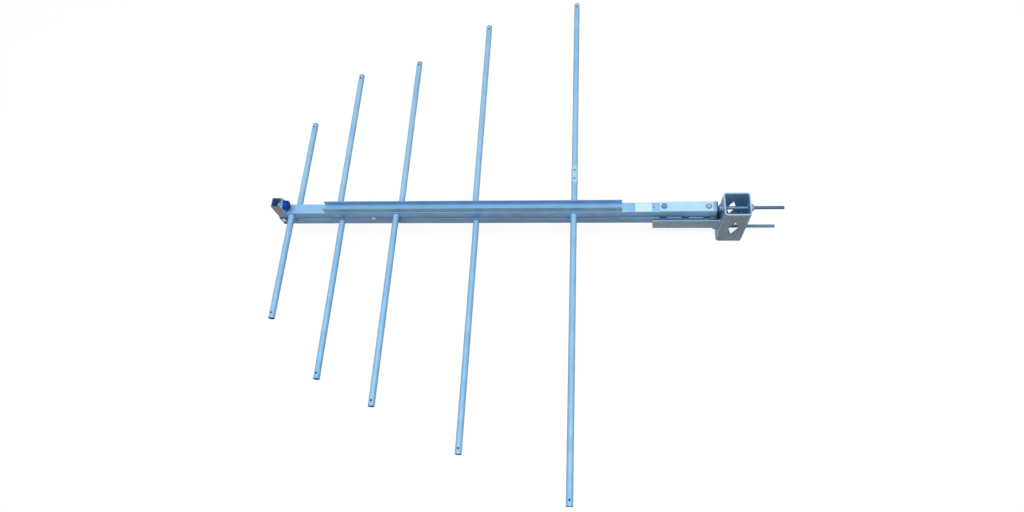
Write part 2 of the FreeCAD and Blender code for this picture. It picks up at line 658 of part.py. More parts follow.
channel = new_body("boom_channel")
place(channel, CHANNEL_FRONT, "0", "Values.channel_top - Values.channel_deep")
sheet_expr = "Values.boom_wide + 2 * Values.channel_wall"
sk = new_sketch(channel, "channel_section", "YZ_Plane")
cw = val["boom_wide"] / 2 + val["channel_wall"]
ct = val["channel_wall"]
ch = val["channel_deep"]
k = add_loop(sk, [(-cw, 0), (cw, 0), (cw, ch), (cw - ct, ch), (cw - ct, ct), (ct - cw, ct),
                  (ct - cw, ch), (-cw, ch)])
for line in (0, 2, 4, 6):
    sk.addConstraint(Sketcher.Constraint("Horizontal", k + line))
for line in (1, 3, 5, 7):
    sk.addConstraint(Sketcher.Constraint("Vertical", k + line))
sk.addConstraint(Sketcher.Constraint("Symmetric", k, 1, k, 2, -1, 1))
sk.addConstraint(Sketcher.Constraint("Horizontal", k + 2, 1, k + 6, 2))
sk.addConstraint(Sketcher.Constraint("Equal", k + 2, k + 6))
tie(sk, "DistanceX", "wide", sheet_expr, 2 * cw, k, 1, k, 2)
tie(sk, "DistanceY", "tall", S + "channel_deep", ch, k + 1, 1, k + 1, 2)
tie(sk, "DistanceX", "wall", S + "channel_wall", ct, k + 2, 2, k + 2, 1)
tie(sk, "DistanceY", "floor", S + "channel_wall", ct, k, 2, k + 3, 2)
run = pad(channel, "channel_run", sk, "%s - %s" % (BOX_FRONT, CHANNEL_FRONT))
run = soften(channel, "channel_bends", run, "", 4.0,
             lambda e: runs_along(e, X_AXIS) and abs(e.Vertexes[0].Z) < 0.01)
sk = new_sketch(channel, "channel_rake_cut", "XZ_Plane")
k = add_loop(sk, [(-1, -1), (val["channel_rake"], -1), (val["channel_rake"], 0), (0, ch), (-1, ch)])
sk.addConstraint(Sketcher.Constraint("Horizontal", k))
sk.addConstraint(Sketcher.Constraint("Vertical", k + 1))
sk.addConstraint(Sketcher.Constraint("Horizontal", k + 3))
sk.addConstraint(Sketcher.Constraint("Vertical", k + 4))
sk.addConstraint(Sketcher.Constraint("PointOnObject", k + 1, 2, -1))
sk.addConstraint(Sketcher.Constraint("PointOnObject", k + 3, 1, -2))
tie(sk, "DistanceX", "rake", S + "channel_rake", val["channel_rake"], -1, 1, k + 1, 2)
tie(sk, "DistanceY", "tall", S + "channel_deep", ch, -1, 1, k + 3, 1)
tie(sk, "DistanceX", "ahead", "1", 1.0, k + 3, 2, k + 3, 1)
tie(sk, "DistanceY", "below", "1", 1.0, k + 1, 1, k + 1, 2)
pocket(channel, "channel_front_rake", sk, "Values.box_wide * 2", both=True)
sk = new_sketch(channel, "channel_holes", "XY_Plane")
for word in ("one", "two"):
    add_hole(sk, "bolt_" + word, bolt_at[word] - channel_front, 0.0,
             (val["bolt_size"] + val["hole_play"]) / 2,
             "%s - %s" % (BOLT_AT[word], CHANNEL_FRONT), "0",
             "(Values.bolt_size + Values.hole_play) / 2")
pocket(channel, "channel_bores", sk, "Values.channel_deep", both=True)
keep(channel, "boom_channel")

# Fillet welds down both sides of the channel where it meets the box.
welds = []
for sign in (-1, 1):
    bead = doc.addObject("Part::Cylinder", "weld_%s" % ("near" if sign < 0 else "far"))
    bind(bead, Radius=S + "weld_size", Height="Values.channel_deep - 6")
    bead.Angle = 90
    turn = 180 if sign < 0 else 90
    place(bead, BOX_FRONT, "%d * (Values.boom_wide / 2 + Values.channel_wall)" % sign,
          "Values.channel_top - Values.channel_deep + 5", FreeCAD.Rotation(Z_AXIS, turn))
    welds.append(bead)
keep(group("bracket_welds", welds), "bracket_welds")

# ---------------------------------------------------------------- threaded rods, nuts, washers


def hex_nut(name, x, y, z, rot, hole, kind=""):
    """Hexagon nut whose bore takes the rod line to line."""
    tall = "Values.%snut_tall" % kind
    blank = hexagon(name + "_blank", "Values.%snut_flats / 1.7320508" % kind, tall, x, y, z, rot)
    core = rod(name + "_core", hole, tall + " + 2", x, y, z, rot)
    shift = rot.multVec(V(0, 0, -1))
    core.setExpression("Placement.Base.x", x + " + %g" % shift.x)
    core.setExpression("Placement.Base.z", z + " + %g" % shift.z)
    return cut(name, blank, core)


def washer(name, x, y, z, rot, bore="(Values.stud_size + Values.hole_play) / 2", kind=""):
    """Flat washer, its bore a hole_play larger than the rod."""
    thick = "Values.%swasher_thick" % kind
    disc = rod(name + "_disc", "Values.%swasher_od / 2" % kind, thick, x, y, z, rot)
    core = rod(name + "_core", bore, thick + " + 2", x, y, z, rot)
    shift = rot.multVec(V(0, 0, -1))
    core.setExpression("Placement.Base.x", x + " + %g" % shift.x)
    core.setExpression("Placement.Base.z", z + " + %g" % shift.z)
    return cut(name, disc, core)


NUT_FRONT = "(%s - Values.washer_thick - Values.nut_tall)" % BOX_FRONT
STUD_FRONT = "(%s - Values.stud_proud)" % NUT_FRONT
nuts = []
washers = []
for word, sign in (("upper", 1), ("lower", -1)):
    level = "%d * Values.stud_apart / 2" % sign
    held = rod(word + "_stud_held", "Values.thread_mid / 2", "-" + STUD_FRONT, STUD_FRONT, "0",
               level, TURN_X)
    free = rod(word + "_stud_free", "Values.stud_size / 2", S + "stud_free", "0", "0", level, TURN_X)
    bar = join(word + "_stud_bar", [held, free])
    doc.recompute()
    stud = doc.addObject("Part::Chamfer", word + "_stud")
    stud.Base = bar
    stud.Edges = [(i, 0.9, 0.9) for i, e in enumerate(bar.Shape.Edges, 1)
                  if e.Curve.TypeId == "Part::GeomCircle" and abs(e.CenterOfMass.x) > 1]
    keep(stud, word + "_stud")
    washers.append(washer(word + "_front_washer", BOX_FRONT + " - Values.washer_thick", "0", level, TURN_X))
    washers.append(washer(word + "_rear_washer", BOX_BACK, "0", level, TURN_X))
    nuts.append(hex_nut(word + "_front_nut", NUT_FRONT, "0", level, TURN_X, "Values.thread_mid / 2"))
    nuts.append(hex_nut(word + "_rear_nut", "-Values.nut_tall", "0", level, TURN_X,
                        "Values.thread_mid / 2"))
keep(group("stud_nuts", nuts), "stud_nuts")
keep(group("stud_washers", washers), "stud_washers")

# ---------------------------------------------------------------- boom bolts

UP = FreeCAD.Rotation(Z_AXIS, 0)
bolts = []
caps = []
top_washers = []
WEB = "Values.channel_top - Values.channel_deep"
BOLT_BORE = "(Values.bolt_size + Values.hole_play) / 2"
for word in ("one", "two"):
    at = BOLT_AT[word]
    top_washers.append(washer("bolt_%s_top_washer" % word, at, "0", PLATE_TOP, UP, BOLT_BORE,
                              "bolt_"))
    top_washers.append(washer("bolt_%s_low_washer" % word, at, "0",
                              WEB + " - Values.bolt_washer_thick", UP, BOLT_BORE, "bolt_"))
    shank = rod("bolt_%s_shank" % word, "Values.bolt_size / 2",
                PLATE_TOP + " - (" + WEB + ")"
                " + Values.bolt_washer_thick * 2 + Values.bolt_nut_tall + 4",
                at, "0", WEB + " - Values.bolt_washer_thick - Values.bolt_nut_tall - 3")
    if word == "one":
        head = hexagon("bolt_one_head", "Values.bolt_nut_flats / 1.7320508", "5.3", at, "0",
                       PLATE_TOP + " + Values.bolt_washer_thick")
    else:
        head = rod("bolt_two_head", "Values.bolt_nut_flats / 2", "4.4", at, "0",
                   PLATE_TOP + " + Values.bolt_washer_thick")
        seat = tray_floor + val["plate_thick"] + val["bolt_washer_thick"]
        head = round_edges("bolt_two_dome", head, 3.0,
                           lambda e: e.Curve.TypeId == "Part::GeomCircle" and e.CenterOfMass.z > seat + 1)
    bolts.append(join("boom_bolt_" + word, [shank, head]))
    caps.append(hex_nut("bolt_%s_nut" % word, at, "0",
                        WEB + " - Values.bolt_washer_thick - Values.bolt_nut_tall", UP,
                        "Values.bolt_size / 2", "bolt_"))
keep(group("boom_bolts", bolts), "boom_bolts")
keep(group("boom_bolt_nuts", caps), "boom_bolt_nuts")
keep(group("boom_bolt_washers", top_washers), "boom_bolt_washers")

sleeves = []
for word in ("one", "two"):
    low = "Values.channel_top - Values.channel_deep + Values.channel_wall"
    tall = LOWER_LEVEL + " - Values.boom_tall / 2 - (" + low + ")"
    outer = rod("sleeve_%s_outer" % word, "Values.sleeve_od / 2", tall, BOLT_AT[word], "0", low)
    inner = rod("sleeve_%s_inner" % word, BOLT_BORE, tall + " + 2", BOLT_AT[word], "0", low + " - 1")
    sleeves.append(cut("sleeve_" + word, outer, inner))
keep(group("bolt_sleeves", sleeves), "bolt_sleeves")

# ---------------------------------------------------------------- nose box and insulating block

nose = new_body("nose_box")
place(nose, "Values.nose_front + Values.nose_deep / 2", "0", S + "nose_bottom")
sk = new_sketch(nose, "nose_section", "XY_Plane")
add_rect(sk, "outer", val["nose_deep"], val["nose_wide"], S + "nose_deep", S + "nose_wide")
add_rect(sk, "inner", val["nose_deep"] - 2 * val["nose_wall"], val["nose_wide"] - 2 * val["nose_wall"],
         "Values.nose_deep - 2 * Values.nose_wall", "Values.nose_wide - 2 * Values.nose_wall")
tube = pad(nose, "nose_tube", sk, "Values.nose_top - Values.nose_bottom")
nose_x = val["nose_deep"] / 2 - 0.01
soften(nose, "nose_edges", tube, "", 1.5,
       lambda e: runs_along(e, Z_AXIS) and abs(e.Vertexes[0].X) > nose_x)
sk = new_sketch(nose, "socket_hole", "YZ_Plane")
add_hole(sk, "socket", 0.0, val["socket_level"] - val["nose_bottom"],
         (val["neck_od"] + val["hole_play"]) / 2, "0", "Values.socket_level - Values.nose_bottom",
         "(Values.neck_od + Values.hole_play) / 2")
pocket(nose, "socket_bore", sk, "Values.nose_deep", back=True)
keep(nose, "nose_box")

BLOCK_FRONT = "Values.nose_front - Values.block_out"
block = box("block_blank", "Values.nose_deep + Values.block_out",
            "Values.nose_wide + 2", "Values.nose_bottom - Values.block_bottom",
            BLOCK_FRONT, "-Values.nose_wide / 2 - 1", S + "block_bottom")
block = round_edges("block_soft", block, 2.5,
                    lambda e: e.Curve.TypeId == "Part::GeomLine"
                    and e.CenterOfMass.x < val["nose_front"] - val["block_out"] + 1)
FEED_X = "Values.nose_front + Values.feed_in"
FEED_Z = "Values.nose_bottom - Values.feed_drop"
hole = rod("block_hole", "Values.feed_size / 2", "21", FEED_X, "-Values.nose_wide / 2 - 2", FEED_Z, NEAR_WAY)
keep(cut("nose_block", block, hole), "nose_block")
shank = rod("feed_shank", "Values.feed_size / 2", "20", FEED_X, "-Values.nose_wide / 2 - 2", FEED_Z, NEAR_WAY)
head = hexagon("feed_bolt_head", "Values.feed_head / 2", S + "feed_head_tall", FEED_X,
               "-Values.nose_wide / 2 - 1 - Values.feed_head_tall", FEED_Z, NEAR_WAY)
keep(join("feed_bolt", [shank, head]), "feed_bolt")

# ---------------------------------------------------------------- coaxial socket and its dust cap

SOCKET_X = "Values.nose_front + Values.nose_deep"
flange = box("flange_blank", S + "flange_thick", S + "flange_size", S + "flange_size",
             SOCKET_X, "-Values.flange_size / 2", "Values.socket_level - Values.flange_size / 2")
flange = round_edges("flange_corners", flange, 3.0, lambda e: runs_along(e, X_AXIS))
barrel = rod("barrel", "Values.barrel_od / 2", "Values.barrel_long + Values.flange_thick", SOCKET_X,
             "0", S + "socket_level", TURN_X)
neck = rod("neck", "Values.neck_od / 2", "Values.nose_wall + 9", SOCKET_X + " - Values.nose_wall - 9", "0",
           S + "socket_level", TURN_X)
shell = join("socket_solid", [flange, barrel, neck])
mouth = rod("socket_mouth", "Values.barrel_od / 2 - 4", "Values.barrel_long + 1",
            SOCKET_X + " + Values.flange_thick", "0", S + "socket_level", TURN_X)
seat = rod("socket_seat", "Values.bead_od / 2", "Values.nose_wall + 16",
           SOCKET_X + " - Values.nose_wall - 10", "0", S + "socket_level", TURN_X)
holes = [mouth, seat]
for a in (-1, 1):
    for b in (-1, 1):
        holes.append(rod("flange_hole_%d_%d" % (a + 1, b + 1), "Values.flange_screw / 2",
                         "Values.flange_thick + 2", SOCKET_X + " - 1", "%d * Values.flange_spot" % a,
                         "Values.socket_level + %d * Values.flange_spot" % b, TURN_X))
keep(cut("socket_body", shell, join("socket_voids", holes)), "socket_body")

bead = rod("bead_disc", "Values.bead_od / 2", "5", SOCKET_X + " - 2", "0", S + "socket_level", TURN_X)
bead_core = rod("bead_core", "Values.pin_od / 2", "7", SOCKET_X + " - 3", "0", S + "socket_level", TURN_X)
keep(cut("socket_bead", bead, bead_core), "socket_bead")
pin = rod("pin_bar", "Values.pin_od / 2", "21", SOCKET_X + " - 10", "0", S + "socket_level", TURN_X)
keep(round_edges("socket_pin", pin, 0.9,
                 lambda e: e.Curve.TypeId == "Part::GeomCircle" and e.CenterOfMass.x > socket_x + 5),
     "socket_pin")

flange_screws = []
for a in (-1, 1):
    for b in (-1, 1):
        y = "%d * Values.flange_spot" % a
        z = "Values.socket_level + %d * Values.flange_spot" % b
        tag = "flange_screw_%d_%d" % (a + 1, b + 1)
        shank = rod(tag + "_shank", "Values.flange_screw / 2", "Values.flange_thick + 0.5", SOCKET_X,
                    y, z, TURN_X)
        head = rod(tag + "_head", "Values.flange_screw * 0.75", "1.6",
                   SOCKET_X + " + Values.flange_thick", y, z, TURN_X)
        flange_screws.append(join(tag, [shank, head]))
keep(group("flange_screws", flange_screws), "flange_screws")

CAP_X = SOCKET_X + " + Values.flange_thick + Values.cap_gap"
cap_end = socket_x + val["flange_thick"] + val["cap_gap"] + val["cap_long"]
cap = rod("cap_blank", "Values.cap_od / 2", S + "cap_long", CAP_X, "0", S + "socket_level", TURN_X)
cap = round_edges("cap_soft", cap, 2.2,
                  lambda e: e.Curve.TypeId == "Part::GeomCircle" and e.CenterOfMass.x > cap_end - 1)
hollow = rod("cap_hollow", "Values.barrel_od / 2", "Values.barrel_long", CAP_X + " - 1", "0",
             S + "socket_level", TURN_X)
keep(cut("dust_cap", cap, hollow), "dust_cap")

# ---------------------------------------------------------------- check and export

doc.recompute()
problems = []
for obj in doc.Objects:
    state = [str(word) for word in obj.State]
    if "Invalid" in state or "Error" in state:
        problems.append("%s %s" % (obj.Name, state))
for obj in nodes:
    if obj.Shape.isNull():
        problems.append(obj.Label + " has no shape")
    elif not obj.Shape.isValid():
        problems.append(obj.Label + " has a faulty shape")
if problems:
    raise RuntimeError("; ".join(problems))
for obj in nodes:
    obj.Shape.exportStep("parts/%s.step" % obj.Label)
print("%d nodes written" % len(nodes))
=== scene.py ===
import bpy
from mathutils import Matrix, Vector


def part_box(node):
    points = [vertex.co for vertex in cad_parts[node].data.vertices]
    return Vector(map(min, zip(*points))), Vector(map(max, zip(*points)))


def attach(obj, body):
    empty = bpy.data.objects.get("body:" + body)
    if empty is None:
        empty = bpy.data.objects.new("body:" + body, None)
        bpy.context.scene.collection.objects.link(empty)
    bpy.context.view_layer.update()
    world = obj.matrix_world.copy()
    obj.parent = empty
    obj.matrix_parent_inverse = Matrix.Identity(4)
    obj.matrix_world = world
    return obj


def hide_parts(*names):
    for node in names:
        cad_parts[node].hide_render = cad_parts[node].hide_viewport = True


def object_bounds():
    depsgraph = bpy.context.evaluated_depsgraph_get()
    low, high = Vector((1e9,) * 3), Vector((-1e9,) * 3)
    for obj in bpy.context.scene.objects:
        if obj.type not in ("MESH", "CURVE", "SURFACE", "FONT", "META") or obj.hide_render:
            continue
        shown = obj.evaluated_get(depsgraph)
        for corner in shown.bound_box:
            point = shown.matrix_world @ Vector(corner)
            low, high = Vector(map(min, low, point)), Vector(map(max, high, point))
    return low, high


bl_info = {
    "name": "Log-periodic antenna",
    "version": (1, 0, 0),
    "blender": (4, 5, 0),
    "location": "View3D > Sidebar > Antenna",
    "description": "Fasteners, welds, cap, finishes and studio for a five-dipole antenna",
    "category": "Object",
}

import math

import bmesh
import bpy
from bpy.props import FloatProperty, FloatVectorProperty, PointerProperty
from mathutils import Matrix, Vector

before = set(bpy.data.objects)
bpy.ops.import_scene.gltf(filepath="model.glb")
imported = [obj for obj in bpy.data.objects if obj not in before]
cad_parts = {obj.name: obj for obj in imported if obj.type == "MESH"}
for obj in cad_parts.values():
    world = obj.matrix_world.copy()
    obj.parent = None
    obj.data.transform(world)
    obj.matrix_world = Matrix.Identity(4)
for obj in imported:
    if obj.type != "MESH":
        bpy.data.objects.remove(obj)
cad_box = [list(corner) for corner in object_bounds()]

MM = 0.001
WORDS = ("one", "two", "three", "four", "five")     # dipoles, from the nose to the rear


def srgb(red, green, blue):
    """Linear colour from the 0 to 255 values of a picture."""
    out = []
    for value in (red, green, blue):
        share = value / 255
        out.append(share / 12.92 if share <= 0.04045 else ((share + 0.055) / 1.055) ** 2.4)
    return tuple(out)


def middle(node):
    """Centre of a CAD node's box."""
    low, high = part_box(node)
    return (low + high) / 2


# ---- sizes and colours


def length(name, description, default, low, high):
    """Length property, its values given in millimetres."""
    return FloatProperty(name=name, description=description, default=default * MM, min=low * MM,
                         max=high * MM, unit="LENGTH", precision=5)


def hue(name, description, *picture):
    """Colour property, its default given as the 0 to 255 values of a picture."""
    return FloatVectorProperty(name=name, description=description, default=srgb(*picture), size=3,
                               subtype="COLOR", min=0.0, max=1.0)


def amount(name, description, default, low, high):
    """Plain number property."""
    return FloatProperty(name=name, description=description, default=default, min=low, max=high)


def angle(name, description, degrees):
    """Angle property, its default given in degrees."""
    return FloatProperty(name=name, description=description, default=math.radians(degrees),
                         subtype="ANGLE")


class AntennaFasteners(bpy.types.PropertyGroup):
    """Sizes of the threads, nuts, screws and welds."""

    pitch: length("Thread pitch", "Advance of the rod thread in one turn", 1.5, 0.5, 3)
    thread_depth: length("Thread depth", "Depth of the rod thread", 0.75, 0.1, 1.5)
    bolt_radius: length("Boom bolt radius", "Radius of the bolts that hold the booms", 4.0, 1, 8)
    bolt_pitch: length("Boom bolt pitch", "Advance of the boom bolt thread in one turn", 1.25, 0.5, 3)
    rod_end: length("Rod end chamfer", "Chamfer on the ends of the threaded rods", 0.9, 0, 3)
    nut_chamfer: length("Nut chamfer", "Chamfer on the corners of nuts and bolt heads", 0.75, 0.1, 2)
    washer_edge: length("Washer edge", "Rounding of the washer edges", 0.35, 0.05, 0.8)
    weld_ripple: length("Weld ripple", "Distance between two ripples of a weld bead", 2.6, 1, 8)
    recess: amount("Cross recess", "Span of the cross recess as a share of the head", 0.56, 0.2, 0.8)


class AntennaCap(bpy.types.PropertyGroup):
    """Sizes of the dust cap."""

    rim: length("Rim width", "Length of the thicker rim at the open end", 3.2, 1, 8)
    taper: length("Taper", "How much smaller the radius is at the closed end", 0.7, 0, 3)
    dish: length("End dish", "Depth of the round dish in the closed end", 0.9, 0.1, 3)


class AntennaColours(bpy.types.PropertyGroup):
    """Colours of the finishes."""

    boom: hue("Boom aluminium", "Extruded aluminium of the booms", 147, 199, 240)
    dipole: hue("Dipole aluminium", "Drawn aluminium of the dipole tubes", 150, 202, 241)
    tray: hue("Tray aluminium", "Aluminium of the cable tray", 135, 182, 216)
    plate: hue("Plate aluminium", "Bright aluminium of the clamp plate", 178, 224, 247)
    channel: hue("Galvanised channel", "Zinc coat of the boom channel", 150, 172, 187)
    # Painted highlight on the channel's edges
    channel_edge_highlight: hue("Channel edge", "Brighter zinc on the edges of the channel", 162, 200, 224)
    mast_box: hue("Galvanised box", "Zinc coat of the mast box", 131, 153, 171)
    # Painted highlight on the mast box's cut ends
    box_edge_highlight: hue("Box edge", "Brighter zinc on the sawn ends of the mast box", 156, 203, 234)
    thread: hue("Threaded steel", "Plated steel of the upper rod, nuts and bolts", 106, 134, 164)
    low_rod: hue("Lower rod", "Paler plated steel of the lower rod", 130, 160, 184)
    stainless: hue("Stainless steel", "Small screws", 176, 208, 236)
    bright: hue("Bright screw", "Steel of the screw that holds the front spacer", 204, 232, 250)
    dome: hue("Dome bolt", "Steel of the round head on the clamp plate", 152, 188, 216)
    flange: hue("Socket metal", "Plated brass of the coaxial socket", 142, 180, 216)
    contact: hue("Contact", "Gilt centre contact of the socket", 222, 186, 110)
    bead: hue("Insulator", "White insulator of the socket", 228, 232, 232)
    end_plate: hue("End plate", "Dark plastic of the rear end plate and the tip plugs", 30, 74, 118)
    spacer: hue("Spacers", "Dark plastic of the spacers between the booms", 8, 72, 134)
    nose: hue("Nose metal", "Weathered metal of the nose box", 132, 148, 194)
    nose_tan: hue("Nose tan", "Tan weathering on the nose box", 150, 128, 104)
    nose_inside: hue("Nose inside", "Bare metal inside the nose box", 88, 156, 204)
    block: hue("Insulating block", "Plastic of the block under the nose box", 46, 62, 92)
    cap: hue("Dust cap", "Blue plastic of the dust cap", 2, 66, 180)
    label: hue("Label", "Bare white label", 211, 246, 250)


class AntennaStage(bpy.types.PropertyGroup):
    """Camera, floor and light."""

    place: FloatVectorProperty(
        name="Camera place", description="Where the camera stands",
        default=(-0.4476, -0.9425, 1.8214), size=3, subtype="TRANSLATION",
    )
    down: angle("Look down", "Angle of the view below the horizon", 64.993)
    turn: angle("Turn", "Turn of the view about the vertical, from +Y towards +X", -15.442)
    roll: angle("Roll", "Roll of the camera about its view", -13.881)
    lens: amount("Lens", "Focal length in millimetres on a 36 mm sensor", 24.5, 8, 200)
    drop: length("Floor drop", "Distance from the antenna's lowest point to the floor", 4, 0, 2000)
    overhead: amount("Overhead light", "Power of the large lamp above the antenna", 185, 0, 5000)
    sky: amount("Sky", "Strength of the fill light from all around", 0.15, 0, 3)


# ---- materials


def arithmetic(operation):
    """A Signal's operator and its reflected form."""
    def forward(self, other):
        return self.paint.maths(operation, self, other)

    def reflected(self, other):
        return self.paint.maths(operation, other, self)

    return forward, reflected


class Signal:
    """An output socket that takes part in ordinary Python arithmetic."""

    def __init__(self, paint, socket):
        self.paint = paint
        self.socket = socket

    __add__, __radd__ = arithmetic("ADD")
    __sub__, __rsub__ = arithmetic("SUBTRACT")
    __mul__, __rmul__ = arithmetic("MULTIPLY")
    __truediv__, __rtruediv__ = arithmetic("DIVIDE")


class Paint:
    """Builds one node tree, a material's or the world's."""

    def __init__(self, owner):
        owner.use_nodes = True
        self.owner = owner
        self.tree = owner.node_tree
        self.tree.nodes.clear()

    def node(self, kind, settings=None, inputs=None, output=0):
        """Add a node, first its settings, then the values and links of its inputs."""
        made = self.tree.nodes.new(kind)
        for name, value in (settings or {}).items():
            if name == "stops":
                ramp = made.color_ramp
                ramp.elements[0].position, ramp.elements[0].color = value[0]
                ramp.elements[-1].position, ramp.elements[-1].color = value[-1]
                for position, colour in value[1:-1]:
                    ramp.elements.new(position).color = colour
            else:
                setattr(made, name, value)
        for key, value in (inputs or {}).items():
            if isinstance(value, Signal):
                self.tree.links.new(value.socket, made.inputs[key])
            else:
                made.inputs[key].default_value = value
        return Signal(self, made.outputs[output]) if made.outputs else None

    def maths(self, operation, first, second=0.0):
        return self.node("ShaderNodeMath", {"operation": operation}, {0: first, 1: second})

    def clamp(self, value):
        return self.node("ShaderNodeClamp", {}, {"Value": value})

    def blend(self, mask, first, second):
        """Colour that goes from first to second as the mask goes from 0 to 1."""
        return self.node("ShaderNodeMix", {"data_type": "RGBA"},
                         {0: mask, 6: solid(first), 7: solid(second)}, 2)

    def tint(self, mask, tone, factor):
        """Multiply the colour by a factor as far as the mask goes."""
        return self.node("ShaderNodeMix", {"data_type": "RGBA", "blend_type": "MULTIPLY"},
                         {0: mask, 6: tone, 7: solid(factor)}, 2)

    def part_of(self, vector, axis):
        """One number of a vector: 0, 1 or 2 for X, Y or Z."""
        return self.node("ShaderNodeSeparateXYZ", {}, {"Vector": vector}, axis)

    def where(self, stretch=(1, 1, 1), centre=(0, 0, 0), turn=(0, 0, 0)):
        """Object coordinates about a centre, stretched and turned."""
        spot = self.node("ShaderNodeTexCoord", output="Object")
        spot = self.node("ShaderNodeVectorMath", {"operation": "SUBTRACT"}, {0: spot, 1: centre})
        return self.node("ShaderNodeMapping", {}, {"Vector": spot, "Rotation": turn, "Scale": stretch})

    def noise(self, vector, scale, detail=3.0, rough=0.55):
        return self.node("ShaderNodeTexNoise", {},
                         {"Vector": vector, "Scale": scale, "Detail": detail, "Roughness": rough})

    def spread(self, value, low, high):
        """0 where a value is low and 1 where it is high, held beyond them."""
        return self.node("ShaderNodeMapRange", {}, {"Value": value, "From Min": low, "From Max": high})

    def ramp(self, axis, start, end):
        """0 at one place on an axis and 1 at another, held beyond them."""
        return self.spread(self.part_of(self.where(), axis), start, end)

    def away(self, axis, centre=0.0):
        """Distance from a place on an axis."""
        return self.maths("ABSOLUTE", self.part_of(self.where(), axis) - centre)

    def blotch(self, scale, detail, low, high):
        """Patches of noise, cut off below and above."""
        return self.spread(self.noise(self.where(), scale, detail), low, high)

    def cloudy(self, noise, colour, dark, light):
        """The colour, made darker and lighter by a noise."""
        return self.blend(self.spread(noise, 0.3, 0.7), shade(colour, dark), shade(colour, light))

    def bump(self, height, distance, strength):
        return self.node("ShaderNodeBump", {},
                         {"Height": height, "Distance": distance, "Strength": strength})

    def surface(self, inputs):
        """Principled surface with these inputs, wired to the output."""
        shader = self.node("ShaderNodeBsdfPrincipled", {}, inputs)
        self.node("ShaderNodeOutputMaterial", {}, {"Surface": shader})
        return self.owner


def solid(colour):
    """Colour value with its alpha, or the link as it is."""
    if isinstance(colour, Signal):
        return colour
    return (colour[0], colour[1], colour[2], 1.0)


def shade(colour, factor):
    """The colour times a factor, kept below white."""
    return tuple(min(max(channel * factor, 0.0), 1.0) for channel in colour)


def wall_painted_shade(node, top, bottom, channel_shade, end, tail_low_shade):
    """Painted light and shade on the side walls of a boom: darker than the top, tinted downwards, darker in
    the channel and at the rear end.

    Painted shade also darkens the narrow ledges beside the cable tray.
    """
    low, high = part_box(node)
    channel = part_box("boom_channel")[0].x
    tray_low, tray_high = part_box("cable_tray")

    def lay(paint, tone):
        spot = paint.where()
        level = paint.part_of(spot, 2) + (paint.noise(spot, 16.0, 4.0) - 0.5) * 0.008
        wall = paint.ramp(2, high.z - 0.4 * MM, high.z - 2 * MM)
        down = paint.spread(level, high.z - 6 * MM, low.z + 6 * MM)
        inside = paint.ramp(0, channel - 4 * MM, channel + 6 * MM) * paint.ramp(2, 54 * MM, 40 * MM)
        ledge_shade = paint.spread(paint.away(1), tray_high.y - 0.2 * MM, tray_high.y + 0.4 * MM) * (1 - wall)
        ledge_shade = ledge_shade * paint.ramp(0, tray_low.x - 2 * MM, tray_low.x + 4 * MM)
        ledge_shade = ledge_shade * paint.ramp(0, tray_high.x + 2 * MM, tray_high.x - 4 * MM)
        tail_shade_mask = paint.ramp(0, high.x - 22 * MM, high.x - 4 * MM)
        # Painted shade on the tray ledges, the side walls, the channel part and the rear end; the downward
        # tint is painted shade or a painted floor reflection
        tone = paint.tint(ledge_shade, tone, (0.66, 0.66, 0.60))
        tone = paint.tint(wall, tone, top)
        tone = paint.tint(wall * down, tone, bottom)
        tone = paint.tint(wall * inside, tone, channel_shade)
        tone = paint.tint(tail_shade_mask, tone, end)
        return paint.tint(tail_shade_mask * down, tone, tail_low_shade)

    return lay


def tip_shade_and_marks(word):
    """Painted shade in the bore and in the drain holes, dark cut ends, and the far tube lighter, of a
    dipole's two tubes.
    """
    near, far = middle("dipole_%s_near" % word), middle("dipole_%s_far" % word)
    low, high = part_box("dipole_%s_far" % word)
    radius = (high.z - low.z) / 2
    hole = high.y - 15 * MM

    def lay(paint, tone):
        across = paint.away(0, near.x)
        level = paint.away(2, (near.z + far.z) / 2) - abs(near.z - far.z) / 2
        out = paint.away(1)
        along = out - hole
        bore = paint.maths("SQRT", across * across + level * level)
        ring = paint.maths("SQRT", across * across + along * along)
        # Far tube lighter; painted shade darkens the drain holes and the bore; the cut ends are darker
        tone = paint.tint(paint.ramp(1, 0.0, 0.1), tone, (1.17, 1.09, 1.06))
        tone = paint.tint(paint.spread(ring, 3.8 * MM, 2.6 * MM), tone, (0.30, 0.36, 0.50))
        tone = paint.tint(paint.spread(bore, radius - 0.6 * MM, radius - 1.3 * MM), tone,
                          (0.10, 0.15, 0.24))
        return paint.tint(paint.spread(out, high.y - 1.6 * MM, high.y - 0.6 * MM), tone,
                          (0.22, 0.27, 0.40))

    return lay


def tray_inner_light(paint, tone):
    """Painted bluer light on the inside of the tray's far wall."""
    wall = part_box("cable_tray")[1].y
    inner = paint.ramp(1, wall - 2.6 * MM, wall - 2.2 * MM) * paint.ramp(1, wall - 0.8 * MM, wall - 1.4 * MM)
    return paint.tint(inner, tone, (1.20, 1.11, 1.18))


def rod_film(paint, tone):
    """Brighter, bluer zinc where the upper rod runs through the mast box."""
    low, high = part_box("mast_box")
    inside = paint.ramp(0, low.x + 3 * MM, low.x + 5 * MM) * paint.ramp(0, high.x - 3 * MM, high.x - 5 * MM)
    return paint.tint(inside, tone, (1.35, 1.65, 1.70))


def cap_shade(paint, tone):
    """Painted shade on the cap plastic, darker towards the bottom."""
    low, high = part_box("dust_cap")
    return paint.tint(paint.ramp(2, high.z - 4 * MM, low.z + 4 * MM), tone, (0.40, 0.62, 0.56))


def plate_end_shade(paint, tone):
    """Painted shade on the rear end of the clamp plate."""
    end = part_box("clamp_plate")[1].x
    return paint.tint(paint.ramp(0, end - 11 * MM, end - 6 * MM), tone, (0.50, 0.60, 0.76))


